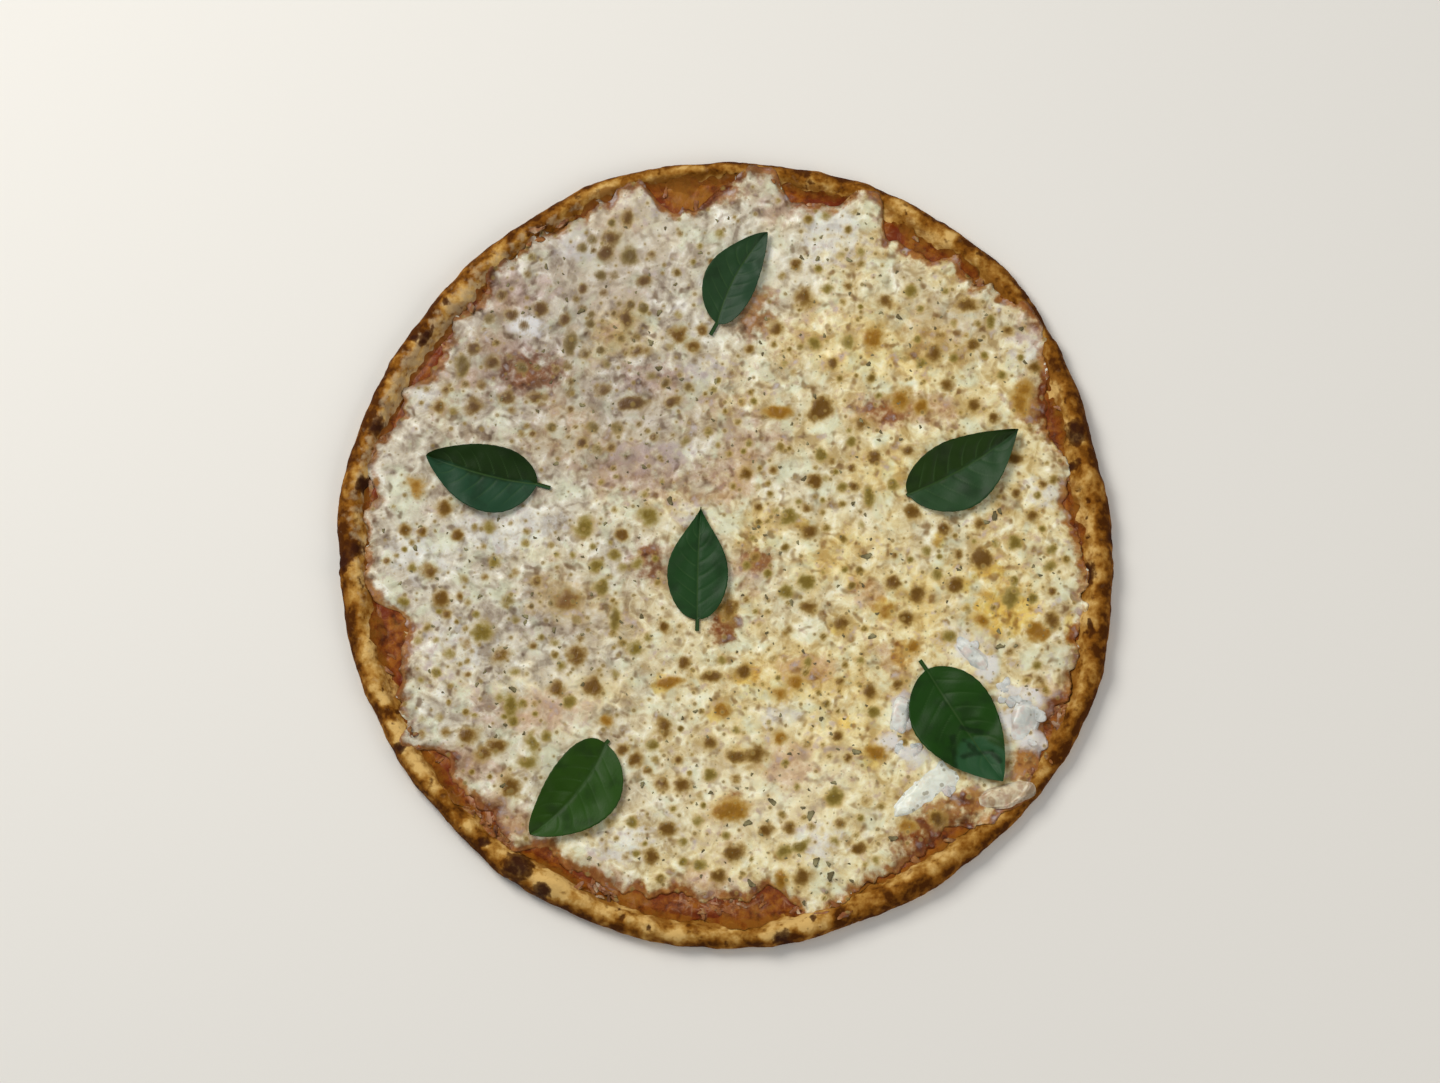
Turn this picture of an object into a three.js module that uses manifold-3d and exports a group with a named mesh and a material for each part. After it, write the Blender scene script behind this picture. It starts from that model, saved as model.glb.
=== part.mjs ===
// Margherita pizza, whole and uncut: a thin round crust with a low puffed rim, tomato sauce that
// shows in bays along the rim, melted cheese with toasted blisters and dried-herb flakes, pieces of
// fresh mozzarella that hardly melted, and six basil leaves.
// Lengths are millimetres and angles are degrees. +Z is up, the flat underside lies on Z = 0 and the
// origin is under the middle of the pizza. An angle round the pizza runs anticlockwise from +X.

import * as THREE from 'three';
import { mergeVertices } from 'three/addons/utils/BufferGeometryUtils.js';
import Module from 'manifold-3d';

const wasm = await Module();
wasm.setup();

// Driving dimensions: the whole pizza
const WIDTH = 331;
const DEPTH = 343;
const GAP = 0.3; // clearance between pieces that lie on each other

// Crust: a flat base and a rim whose section is a low loaf
const BASE_THICKNESS = 3.6;
const RIM_HEIGHT = 9.8;
const RIM_WIDTH = 12.5;
const BELLY_HEIGHT = 3.8; // height at which the rim is widest
const UNDER_CURVE = 5; // how far the edge of the underside curls in
const CREST_SHARE = 0.42; // crest's distance from the outer edge, as a share of the rim's width
const RIM_LUMPS = { wavelength: 19, height: 0.6 };
const RIM_RELIEF_FADE = 4; // distance over which puffs and lumps grow from the rim's inner foot

// Toppings
const SAUCE_THICKNESS = 1;
const SAUCE_CLIMB = 3; // how far the sauce runs up the rim's inner slope
const SAUCE_EDGE = { share: 0.45, width: 5 }; // the layer thins to this share of its thickness
const SAUCE_RIPPLES = { wavelength: 12, height: 0.15 };
const SAUCE_LAP = 5; // least width of sauce that is modelled under the cheese
const CHEESE_THICKNESS = 2.5;
const CHEESE_MARGIN = 13; // usual distance from the outer edge to the cheese
const CHEESE_NEAREST = 2.6; // least distance from the outer edge to the cheese
const CHEESE_ROUND = 6; // width of the cheese layer's rounded edge
const CHEESE_EDGE_THICKNESS = 0.5;
const CHEESE_ON_RIM = { thickness: 1.3, blend: 1.2 };
const CHEESE_SWELLS = { wavelength: 38, height: 0.45 };
const CHEESE_LUMPS = { wavelength: 17, height: 0.25 };
const CURD_RISE = 0.7; // share of a fresh piece's half height that stands over the cheese
const CURD_BOXINESS = 0.85; // 1 for an ellipsoid, less for a squarer piece
const CURD_LUMPS = { wavelength: 2.2, height: 0.15 }; // on a piece of radius 1
const LEAF_THICKNESS = 0.45;
const LEAF_CLEARANCE = 0.55; // between a leaf and the cheese
const STALK_WIDTH = 1.7;

// Fineness of the solids
const RIM_SPOKES = 180;
const SAUCE_SPOKES = 108;
const CHEESE_EDGE_SPOKES = 156;
const CHEESE_CELL = 9.5;

// Irregular outline: waves round the ellipse, each with its number of lobes and one crest's angle
const OUTLINE_WAVES = [
  { lobes: 1, height: 1.4, at: 20 },
  { lobes: 3, height: 0.8, at: -55 },
  { lobes: 4, height: 0.8, at: -27 },
  { lobes: 5, height: 0.9, at: -28 },
  { lobes: 6, height: 0.5, at: -17 },
  { lobes: 11, height: 0.35, at: 8 },
  { lobes: 17, height: 0.3, at: 3 },
];
const CHEESE_EDGE_WAVES = [
  { lobes: 19, height: 1.3, at: 4 },
  { lobes: 31, height: 1.1, at: 7 },
  { lobes: 47, height: 0.8, at: 2 },
];
const SAUCE_EDGE_WAVES = [
  { lobes: 13, height: 0.7, at: 11 },
  { lobes: 29, height: 0.5, at: 5 },
];

// Stretches where the rim is wider, narrower, higher or lower than usual
const RIM_STRETCHES = [
  { angle: 12, spread: 13, width: 3, height: 0.9 },
  { angle: 36, spread: 8, width: -3, height: -2.2 },
  { angle: 67, spread: 4, width: -2.5, height: -1.8 },
  { angle: 97, spread: 17, width: -4, height: -0.8 },
  { angle: 135, spread: 9, width: 3, height: 0.8 },
  { angle: 186, spread: 12, width: 2, height: 0.3 },
  { angle: 242, spread: 8, width: 3, height: 1.2 },
  { angle: 300, spread: 12, width: 3, height: 0.4 },
  { angle: 320, spread: 6, width: -3, height: -1.8 },
  { angle: 349, spread: 9, width: 3, height: 0.6 },
];

// Round puffs and burst blisters on the rim
const RIM_PUFFS = [
  { angle: 237, inset: 8, radius: 5.5, height: 2.2 },
  { angle: 243, inset: 11, radius: 7, height: 1.8 },
  { angle: 258.5, inset: 9, radius: 4.5, height: 1.3 },
  { angle: 277.5, inset: 8, radius: 4.5, height: 1.2 },
  { angle: 334, inset: 7, radius: 6, height: 1.2 },
  { angle: 350, inset: 10, radius: 6.5, height: 1.5 },
  { angle: 11, inset: 10, radius: 5, height: 1.5 },
  { angle: 20.5, inset: 8, radius: 4.5, height: 1.7 },
  { angle: 134, inset: 12, radius: 7, height: 1.6 },
  { angle: 159, inset: 8, radius: 4.5, height: 1.4 },
  { angle: 168.5, inset: 8, radius: 4.5, height: 1.3 },
  { angle: 220, inset: 9, radius: 5, height: 1.4 },
];

// Bays where the cheese stops short of the rim, and spills (negative) where it runs over it
const CHEESE_BAYS = [
  { angle: 9, spread: 6, depth: 5 },
  { angle: 22, spread: 6, depth: 7 },
  { angle: 37.5, spread: 6.5, depth: -12 },
  { angle: 49, spread: 4, depth: 4 },
  { angle: 60, spread: 4.5, depth: 9 },
  { angle: 68.5, spread: 2.5, depth: -12 },
  { angle: 85, spread: 3.5, depth: -8 },
  { angle: 95, spread: 4.5, depth: 9 },
  { angle: 103, spread: 2.5, depth: -7 },
  { angle: 121.5, spread: 2.5, depth: -6 },
  { angle: 130, spread: 4, depth: 2 },
  { angle: 144, spread: 5, depth: 8 },
  { angle: 157, spread: 4, depth: 3 },
  { angle: 166, spread: 3, depth: -3 },
  { angle: 191, spread: 4, depth: 11 },
  { angle: 197, spread: 3, depth: 7 },
  { angle: 211, spread: 2.5, depth: -7 },
  { angle: 218, spread: 4, depth: 5 },
  { angle: 229, spread: 5, depth: 2 },
  { angle: 243, spread: 5, depth: 8 },
  { angle: 250, spread: 2.5, depth: -2 },
  { angle: 258, spread: 6, depth: 9 },
  { angle: 269, spread: 7, depth: 9 },
  { angle: 278, spread: 3.5, depth: 13 },
  { angle: 285, spread: 4, depth: -9 },
  { angle: 302, spread: 8, depth: 4 },
  { angle: 321, spread: 6, depth: -9 },
  { angle: 333, spread: 4, depth: 5 },
  { angle: 350, spread: 7, depth: 3 },
];

// Basil leaves. A leaf starts where the blade meets the stalk and runs towards `turn`; `bend` bows
// its midrib to the left, `lean` widens its left half, `fold` and `wave` lift its margins and
// `curl` lifts its tip. The lower `base` and `tip` are, the blunter is that end of the blade.
const LEAVES = [
  {
    name: 'basil_leaf_far', x: -3.5, y: 100, turn: 61.5, length: 45, width: 22.5, stalk: 6,
    bend: 3, lean: 0.08, fold: 1.8, wave: 1.2, curl: 1.5, base: 0.7, tip: 0.8,
  },
  {
    name: 'basil_leaf_left', x: -80.5, y: 29.5, turn: 165, length: 49, width: 29.5, stalk: 6,
    bend: 2, lean: 0.1, fold: 2.6, wave: 1.3, curl: 1, base: 0.75, tip: 0.75,
  },
  {
    name: 'basil_leaf_right', x: 77.9, y: 25, turn: 31, length: 55, width: 30.5, stalk: 0.8,
    bend: -2.4, lean: -0.12, fold: 2.8, wave: 1.4, curl: 1.5, base: 0.7, tip: 0.95,
  },
  {
    name: 'basil_leaf_middle', x: -12, y: -29.5, turn: 88.2, length: 49, width: 26, stalk: 5,
    bend: 0.5, lean: 0, fold: 1.6, wave: 1, curl: 0.6, base: 0.6, tip: 1.3,
  },
  {
    name: 'basil_leaf_near_right', x: 85.7, y: -51.4, turn: -56.5, length: 58.5, width: 36, stalk: 5,
    bend: -0.5, lean: -0.08, fold: 1.8, wave: 2.2, curl: 2.4, base: 0.75, tip: 0.8,
  },
  {
    name: 'basil_leaf_near_left', x: -51, y: -83.3, turn: 231, length: 51, width: 31.5, stalk: 2,
    bend: 4, lean: 0.1, fold: 2, wave: 1.3, curl: 0.8, base: 0.6, tip: 0.65,
  },
];

// Fresh mozzarella that kept its shape on top of the melted cheese. `height` is what stands over
// the cheese, and `taper` is the share of its width that a piece loses towards its start.
const MOZZARELLA = [
  {
    name: 'mozzarella_strip', x: 84, y: -104.5, length: 37, width: 19, height: 2.1, turn: 36,
    taper: 0.7, seed: 1,
  },
  {
    name: 'mozzarella_curd_left', x: 74.5, y: -71, length: 17, width: 11, height: 1.7, turn: 75,
    taper: 0.2, seed: 2,
  },
  {
    name: 'mozzarella_curd_upper', x: 106, y: -45, length: 23, width: 9, height: 1.8, turn: -42,
    taper: 0.3, seed: 3,
  },
  {
    name: 'mozzarella_curd_right', x: 127, y: -72, length: 24, width: 14, height: 2.1, turn: 72,
    taper: 0.2, seed: 4,
  },
  {
    name: 'mozzarella_curd_rim', x: 119, y: -105.5, length: 23, width: 12, height: 2.2, turn: 12,
    taper: 0.3, seed: 5,
  },
];

// Toasted blisters in the cheese and flakes of dried herbs, both scattered by seeded draws
const BLISTERS = { seed: 71, count: 150, spacing: 7.5, radius: [2, 3.6], height: [0.35, 0.8] };
const HERBS = { seed: 23, count: 60, spacing: 12, length: [2.2, 3.6], width: 1.5, height: 1.1 };

const SCATTER_EDGE = 5; // nothing is scattered nearer than this to the cheese's edge
const TRIES_PER_POINT = 60;

const FULL_TURN = 360;
const { degToRad, radToDeg, lerp, clamp, smoothstep, euclideanModulo } = THREE.MathUtils;

/** Bell curve: 1 at the middle, and 1/e at a distance of `spread`. */
const bell = (distance, spread) => Math.exp(-((distance / spread) ** 2));

/** Smaller angle from `b` to `a`, between -180 and 180. */
const angleBetween = (a, b) => euclideanModulo(a - b + FULL_TURN / 2, FULL_TURN) - FULL_TURN / 2;

/** Sum of waves round the pizza at an angle. */
const wavesAt = (angle, waves) =>
  waves.reduce((sum, { lobes, height, at }) => sum + height * Math.cos(degToRad(lobes * (angle - at))), 0);

/** Sum of one value of the local features round the pizza, each fading over its spread. */
const featuresAt = (angle, features, value) =>
  features.reduce((sum, item) => sum + item[value] * bell(angleBetween(angle, item.angle), item.spread), 0);

/** Point at an angle and a radius from the pizza's middle. */
const polar = (angle, radius) => [radius * Math.cos(degToRad(angle)), radius * Math.sin(degToRad(angle))];

/** Angle of a point round the pizza. */
const angleOf = (x, y) => radToDeg(Math.atan2(y, x));

/** Uneven smooth field between -1 and 1, with bumps about half a wavelength wide. */
function swirl(x, y, wavelength) {
  const k = (2 * Math.PI) / wavelength;
  const along = Math.sin(k * (x + 0.35 * y) + 2.1 * Math.sin(0.61 * k * y + 1.3));
  const across = Math.sin(k * (0.93 * y - 0.41 * x) + 1.7 * Math.sin(0.57 * k * x + 0.4));
  return (along + across) / 2;
}

/** The larger of two heights, with the crease between them rounded over about `blend`. */
function softMax(a, b, blend) {
  const share = clamp(0.5 + (a - b) / (2 * blend), 0, 1);
  return lerp(b, a, share) + blend * share * (1 - share);
}

/** Seeded draws between 0 and 1. */
function draws(seed) {
  let state = seed;
  return () => {
    state = (state * 16807) % 2147483647;
    return state / 2147483647;
  };
}

// --- Plan of the pizza -----------------------------------------------------------------------

/** Radius of the pizza's outer edge. */
function outline(angle) {
  const [a, b] = [WIDTH / 2, DEPTH / 2];
  const [c, s] = polar(angle, 1);
  return (a * b) / Math.hypot(b * c, a * s) + wavesAt(angle, OUTLINE_WAVES);
}

const rimWidth = (angle) => RIM_WIDTH + featuresAt(angle, RIM_STRETCHES, 'width');
const rimHeight = (angle) => RIM_HEIGHT + featuresAt(angle, RIM_STRETCHES, 'height');

/** Distance from the outer edge to the sauce. */
const sauceMargin = (angle) => rimWidth(angle) - SAUCE_CLIMB + wavesAt(angle, SAUCE_EDGE_WAVES);

/** Distance from the outer edge to the cheese, which never hangs over the rim's side. */
function cheeseMargin(angle) {
  const margin = CHEESE_MARGIN + featuresAt(angle, CHEESE_BAYS, 'depth') + wavesAt(angle, CHEESE_EDGE_WAVES);
  return Math.max(margin, CHEESE_NEAREST);
}

/** Radius of a point that lies `inset` inside the outer edge. */
const radiusAt = (angle, inset) => outline(angle) - inset;

// --- Heights ---------------------------------------------------------------------------------

/** Lumps and puffs that stand on the rim, fading out at the rim's inner foot. */
function rimRelief(x, y, fade) {
  const puffs = RIM_PUFFS.reduce((sum, { angle, inset, radius, height }) => {
    const [px, py] = polar(angle, radiusAt(angle, inset));
    return sum + height * bell(Math.hypot(x - px, y - py), radius);
  }, 0);
  return fade * (puffs + RIM_LUMPS.height * swirl(x, y, RIM_LUMPS.wavelength));
}

/** Height of the dough's upper surface: flat base, S-shaped inner slope and rounded outer side. */
function doughTop(x, y) {
  const angle = angleOf(x, y);
  const width = rimWidth(angle);
  const inset = clamp(radiusAt(angle, Math.hypot(x, y)), 0, width);
  const crest = CREST_SHARE * width;
  const relief = rimRelief(x, y, smoothstep(width - inset, 0, RIM_RELIEF_FADE));
  if (inset > crest) {
    const share = (1 + Math.cos((Math.PI * (inset - crest)) / (width - crest))) / 2;
    return lerp(BASE_THICKNESS, rimHeight(angle), share) + relief;
  }
  const share = Math.sqrt(1 - (1 - inset / crest) ** 2);
  return lerp(BELLY_HEIGHT, rimHeight(angle) + relief, share);
}

/** Height of the sauce, which thins out towards its edge on the rim's slope. */
function sauceTop(x, y) {
  const angle = angleOf(x, y);
  const fromEdge = radiusAt(angle, Math.hypot(x, y)) - sauceMargin(angle);
  const thickness = SAUCE_THICKNESS * lerp(SAUCE_EDGE.share, 1, smoothstep(fromEdge, 0, SAUCE_EDGE.width));
  return doughTop(x, y) + GAP + thickness + SAUCE_RIPPLES.height * swirl(x, y, SAUCE_RIPPLES.wavelength);
}

/** Height of whatever the cheese lies on, with the clearance between them. */
function cheeseSeat(x, y) {
  const angle = angleOf(x, y);
  const onSauce = radiusAt(angle, Math.hypot(x, y)) > sauceMargin(angle);
  return (onSauce ? sauceTop(x, y) : doughTop(x, y)) + GAP;
}

/** Height of the melted cheese away from its rounded edge. */
function cheeseTop(x, y) {
  const level = BASE_THICKNESS + SAUCE_THICKNESS + CHEESE_THICKNESS + 2 * GAP;
  const swell = CHEESE_SWELLS.height * swirl(x, y, CHEESE_SWELLS.wavelength);
  const lumps = CHEESE_LUMPS.height * swirl(x + 50, y - 20, CHEESE_LUMPS.wavelength);
  const blisters = blisterList.reduce(
    (sum, blister) => sum + blister.height * bell(Math.hypot(x - blister.x, y - blister.y), blister.radius),
    0,
  );
  const overRim = doughTop(x, y) + GAP + CHEESE_ON_RIM.thickness;
  return softMax(level + swell + lumps, overRim, CHEESE_ON_RIM.blend) + blisters;
}

/** Height of the cheese, rounded down over its last few millimetres. */
function cheeseHeight(x, y, fromEdge) {
  const lowest = cheeseSeat(x, y) + CHEESE_EDGE_THICKNESS;
  const share = Math.sqrt(1 - (1 - clamp(fromEdge / CHEESE_ROUND, 0, 1)) ** 2);
  return lerp(lowest, cheeseTop(x, y), share);
}

// --- Scattering ------------------------------------------------------------------------------

/** Distance from a point to the line from a leaf's stalk to its tip. */
function distanceToLeaf(x, y, leaf) {
  const [dx, dy] = polar(leaf.turn, 1);
  const along = clamp((x - leaf.x) * dx + (y - leaf.y) * dy, -leaf.stalk, leaf.length);
  return Math.hypot(x - leaf.x - along * dx, y - leaf.y - along * dy);
}

/** True where nothing lies on the cheese within `room`, leaning leaves allowed for. */
function isBare(x, y, room) {
  const leafReach = 0.62;
  const underLeaf = LEAVES.some((leaf) => distanceToLeaf(x, y, leaf) < leaf.width * leafReach + room);
  const underCurd = MOZZARELLA.some((curd) => Math.hypot(x - curd.x, y - curd.y) < curd.length / 2 + room);
  return !underLeaf && !underCurd;
}

/** Points spread over the open cheese, no two nearer than `spacing`, with one spare draw each. */
function scatter({ seed, count, spacing }, room) {
  const draw = draws(seed);
  const points = [];
  for (let tries = 0; points.length < count && tries < TRIES_PER_POINT * count; tries += 1) {
    const [angle, share, spare] = [FULL_TURN * draw(), Math.sqrt(draw()), draw()];
    const [x, y] = polar(angle, share * radiusAt(angle, cheeseMargin(angle) + SCATTER_EDGE));
    const crowded = points.some((point) => Math.hypot(x - point.x, y - point.y) < spacing);
    if (!crowded && isBare(x, y, room)) {
      points.push({ x, y, spare });
    }
  }
  return points;
}

const blisterList = scatter(BLISTERS, 1).map(({ x, y, spare }) => ({
  x,
  y,
  radius: lerp(...BLISTERS.radius, spare),
  height: lerp(...BLISTERS.height, spare),
}));

// --- Solids ----------------------------------------------------------------------------------

/** Gathers the points and triangles of one closed solid. */
class Skin {
  positions = [];

  faces = [];

  /** Adds a point and gives its number. */
  point(x, y, z) {
    this.positions.push(x, y, z);
    return this.positions.length / 3 - 1;
  }

  /** Adds a ring of points; `place` gives the point at an angle. */
  ring(count, place) {
    return Array.from({ length: count }, (_, step) => this.point(...place((FULL_TURN * step) / count)));
  }

  /** Joins two rings, or a ring and a single point, also when their counts differ. */
  band(first, second) {
    const [a, b] = [first, second].map((ring) => (ring.length > 1 ? ring.length : 0));
    let [i, j] = [0, 0];
    while (i < a || j < b) {
      if (j >= b || (i < a && (i + 1) * b <= (j + 1) * a)) {
        this.faces.push(first[i], first[(i + 1) % first.length], second[j % second.length]);
        i += 1;
      } else {
        this.faces.push(first[i % first.length], second[(j + 1) % second.length], second[j]);
        j += 1;
      }
    }
  }

  /** Closes a row of rings, from the middle of the underside outwards, up and back over the top. */
  closeRings(rings) {
    rings.slice(1).forEach((ring, index) => this.band(rings[index], ring));
    return this.geometry();
  }

  /** The finished geometry. */
  geometry() {
    const geometry = new THREE.BufferGeometry();
    geometry.setAttribute('position', new THREE.Float32BufferAttribute(this.positions, 3));
    geometry.setIndex(this.faces);
    return geometry;
  }
}

/** Turns a closed geometry into a solid for joining and cutting. */
function solidOf(geometry) {
  const bare = geometry.clone();
  bare.deleteAttribute('normal');
  bare.deleteAttribute('uv');
  const merged = mergeVertices(bare);
  const mesh = new wasm.Mesh({
    numProp: 3,
    vertProperties: Float32Array.from(merged.attributes.position.array),
    triVerts: Uint32Array.from(merged.index.array),
  });
  return new wasm.Manifold(mesh);
}

/** Turns the largest body of a solid back into a geometry. */
function geometryOf(solid) {
  const [largest] = solid.decompose().sort((a, b) => b.volume() - a.volume());
  const mesh = largest.getMesh();
  const geometry = new THREE.BufferGeometry();
  geometry.setAttribute('position', new THREE.Float32BufferAttribute(mesh.vertProperties, 3));
  geometry.setIndex(Array.from(mesh.triVerts));
  return geometry;
}

/** Cuts a topping where the pieces under it, lifted by the clearance, would run into it. */
const seated = (topping, pieces) =>
  pieces.reduce((solid, piece) => solid.subtract(piece.translate([0, 0, GAP])), topping);

/** The dough: flat underside, rounded outer side, crest and inner slope, and the flat base. */
function crustGeometry() {
  const skin = new Skin();
  const under = (turn) => (angle) => {
    const reach = UNDER_CURVE * (1 - Math.cos(degToRad(turn)));
    return [...polar(angle, radiusAt(angle, reach)), BELLY_HEIGHT * (1 + Math.sin(degToRad(turn)))];
  };
  const upper = (insetAt) => (angle) => {
    const [x, y] = polar(angle, radiusAt(angle, insetAt(rimWidth(angle))));
    return [x, y, doughTop(x, y)];
  };
  const outerSide = (turn) => upper((width) => CREST_SHARE * width * (1 - Math.cos(degToRad(turn))));
  const innerSlope = (share) => upper((width) => width * lerp(CREST_SHARE, 1, share));
  const section = [
    ...[-90, -45, 0].map(under),
    ...[32, 62, 90].map(outerSide),
    ...[1 / 3, 2 / 3, 1].map(innerSlope),
  ];
  return skin.closeRings([
    [skin.point(0, 0, 0)],
    ...section.map((place) => skin.ring(RIM_SPOKES, place)),
    [skin.point(0, 0, BASE_THICKNESS)],
  ]);
}

/** Height inside the base where an uncut topping slab ends, so that seating removes its underside. */
const SLAB_BOTTOM = BASE_THICKNESS / 2;

/** The sauce as an uncut slab: its hidden middle is flat, and its edge follows the rim's slope. */
function sauceSlab() {
  const skin = new Skin();
  const hidden = (angle) => Math.max(cheeseMargin(angle), rimWidth(angle)) + SAUCE_LAP;
  const top = (share) => (angle) => {
    const [x, y] = polar(angle, radiusAt(angle, lerp(sauceMargin(angle), hidden(angle), share)));
    return [x, y, sauceTop(x, y)];
  };
  const bottom = (angle) => [...polar(angle, radiusAt(angle, sauceMargin(angle))), SLAB_BOTTOM];
  return skin.closeRings([
    [skin.point(0, 0, SLAB_BOTTOM)],
    skin.ring(SAUCE_SPOKES, bottom),
    ...[0, 0.4, 1].map((share) => skin.ring(SAUCE_SPOKES, top(share))),
    [skin.point(0, 0, BASE_THICKNESS + GAP + SAUCE_THICKNESS)],
  ]);
}

/** The cheese as an uncut slab, with its uneven edge and the relief of its blisters. */
function cheeseSlab() {
  const skin = new Skin();
  const middleRadius = (WIDTH + DEPTH) / 4 - CHEESE_MARGIN;
  const rings = [[skin.point(0, 0, SLAB_BOTTOM)]];
  rings.push(skin.ring(CHEESE_EDGE_SPOKES, (angle) => [
    ...polar(angle, radiusAt(angle, cheeseMargin(angle))),
    SLAB_BOTTOM,
  ]));
  for (const fromEdge of [0, CHEESE_ROUND / 3, CHEESE_ROUND]) {
    rings.push(skin.ring(CHEESE_EDGE_SPOKES, (angle) => {
      const [x, y] = polar(angle, radiusAt(angle, cheeseMargin(angle) + fromEdge));
      return [x, y, cheeseHeight(x, y, fromEdge)];
    }));
  }
  const steps = Math.round(middleRadius / CHEESE_CELL);
  for (let step = steps - 1; step > 0; step -= 1) {
    const share = step / steps;
    const count = Math.round((2 * Math.PI * share * middleRadius) / CHEESE_CELL);
    rings.push(skin.ring(count, (angle) => {
      const edge = radiusAt(angle, cheeseMargin(angle) + CHEESE_ROUND);
      const [x, y] = polar(angle, share * lerp(middleRadius, edge, share ** 4));
      return [x, y, cheeseTop(x, y)];
    }));
  }
  rings.push([skin.point(0, 0, cheeseTop(0, 0))]);
  return skin.closeRings(rings);
}

/** Flakes of dried herbs, half sunk in the cheese. */
function herbFlakes() {
  const draw = draws(HERBS.seed + 1);
  return scatter(HERBS, 2.5).map(({ x, y, spare }) => {
    const length = lerp(...HERBS.length, spare);
    const flake = new THREE.CylinderGeometry(0.35, 0.5, 1, 4);
    flake.rotateX(Math.PI / 2);
    flake.scale(length, HERBS.width, HERBS.height);
    flake.rotateZ(Math.PI * draw());
    flake.translate(x, y, cheeseTop(x, y) - 0.1);
    return solidOf(flake);
  });
}

/** Fresh mozzarella: a lumpy flattened piece whose underside is cut to the cheese it lies on. */
function mozzarella({ x, y, length, width, height, turn, taper, seed }) {
  const piece = new THREE.IcosahedronGeometry(1, 2);
  const points = piece.attributes.position;
  for (let index = 0; index < points.count; index += 1) {
    const [px, py, pz] = [points.getX(index), points.getY(index), points.getZ(index)];
    const lumps = CURD_LUMPS.height * swirl(px + 9 * seed, py - pz, CURD_LUMPS.wavelength);
    const swell = (1 + lumps) / Math.hypot(px, py, pz);
    const place = [px, py, pz].map((value) => Math.sign(value) * Math.abs(value * swell) ** CURD_BOXINESS);
    place[1] *= lerp(1 - taper, 1, clamp((place[0] + 1) / 2, 0, 1));
    points.setXYZ(index, ...place);
  }
  const halfHeight = height / CURD_RISE;
  piece.scale(length / 2, width / 2, halfHeight);
  piece.rotateZ(degToRad(turn));
  piece.translate(x, y, cheeseTop(x, y) + height - halfHeight);
  return solidOf(piece);
}

/** Half the leaf's width at a share of the blade's length, and half the stalk's before the blade. */
function leafHalfWidth(share, { width, base, tip }) {
  const inside = clamp(share, 0, 1);
  const blade = share <= 0 ? 0 : Math.sin(Math.PI * inside ** 0.75) ** lerp(base, tip, inside);
  return Math.max((width / 2) * blade, (STALK_WIDTH / 2) * (1 - 0.7 * inside));
}

/** A leaf as a thin wavy solid, folded along its midrib, with both faces split alike. */
function leafGeometry(leaf) {
  const { x, y, turn, length, stalk, bend, lean, fold, wave, curl } = leaf;
  const skin = new Skin();
  const stations = [-stalk / length, 0, 0.05, 0.14, 0.27, 0.41, 0.55, 0.69, 0.82, 0.93, 1];
  const sides = [-1, -0.5, 0, 0.5, 1];
  const [dx, dy] = polar(turn, 1);
  const place = (share, side, rise) => {
    const lifting = Math.sin(Math.PI * clamp(share, 0, 1)) ** 0.5;
    const ripple = (1 + Math.sin(2 * Math.PI * 1.6 * share + 2 * side + x)) / 2;
    const lift = lifting * (fold * Math.abs(side) + wave * side * side * ripple)
      + curl * smoothstep(share, 0.7, 1);
    const along = share * length;
    const bow = 4 * bend * clamp(share, 0, 1) * (1 - clamp(share, 0, 1));
    const across = side * leafHalfWidth(share, leaf) * (1 + lean * side) + bow;
    const [px, py] = [x + along * dx - across * dy, y + along * dy + across * dx];
    return skin.point(px, py, cheeseTop(px, py) + LEAF_CLEARANCE + lift + rise);
  };
  const face = (rise) => stations.map((share) => sides.map((side) => place(share, side, rise)));
  const [lower, upper] = [face(0), face(LEAF_THICKNESS)];
  const quad = (a, b, c, d) => skin.faces.push(a, b, c, a, c, d);
  for (let i = 0; i + 1 < stations.length; i += 1) {
    for (let j = 0; j + 1 < sides.length; j += 1) {
      quad(upper[i][j], upper[i + 1][j], upper[i + 1][j + 1], upper[i][j + 1]);
      skin.faces.push(lower[i][j], lower[i + 1][j + 1], lower[i + 1][j]);
      skin.faces.push(lower[i][j], lower[i][j + 1], lower[i + 1][j + 1]);
    }
    const last = sides.length - 1;
    quad(lower[i][0], lower[i + 1][0], upper[i + 1][0], upper[i][0]);
    quad(lower[i + 1][last], lower[i][last], upper[i][last], upper[i + 1][last]);
  }
  const end = stations.length - 1;
  for (let j = 0; j + 1 < sides.length; j += 1) {
    quad(lower[0][j + 1], lower[0][j], upper[0][j], upper[0][j + 1]);
    quad(lower[end][j], lower[end][j + 1], upper[end][j + 1], upper[end][j]);
  }
  return skin.geometry();
}

// --- Assembly --------------------------------------------------------------------------------

const FINISHES = {
  crust: { color: 0xc79a54, roughness: 0.75, metalness: 0 },
  sauce: { color: 0x8e3413, roughness: 0.35, metalness: 0 },
  cheese: { color: 0xd8c795, roughness: 0.45, metalness: 0 },
  mozzarella: { color: 0xe6e2cf, roughness: 0.4, metalness: 0 },
  basil: { color: 0x274a1c, roughness: 0.45, metalness: 0 },
};

const pizza = new THREE.Group();

/** Adds one named piece of the pizza. */
function addPiece(name, geometry, finish) {
  const mesh = new THREE.Mesh(geometry, new THREE.MeshStandardMaterial(finish));
  mesh.name = name;
  pizza.add(mesh);
}

const crust = crustGeometry();
const dough = solidOf(crust);
const sauce = solidOf(sauceSlab());
const cheese = herbFlakes().reduce((solid, flake) => solid.add(flake), solidOf(cheeseSlab()));

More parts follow.
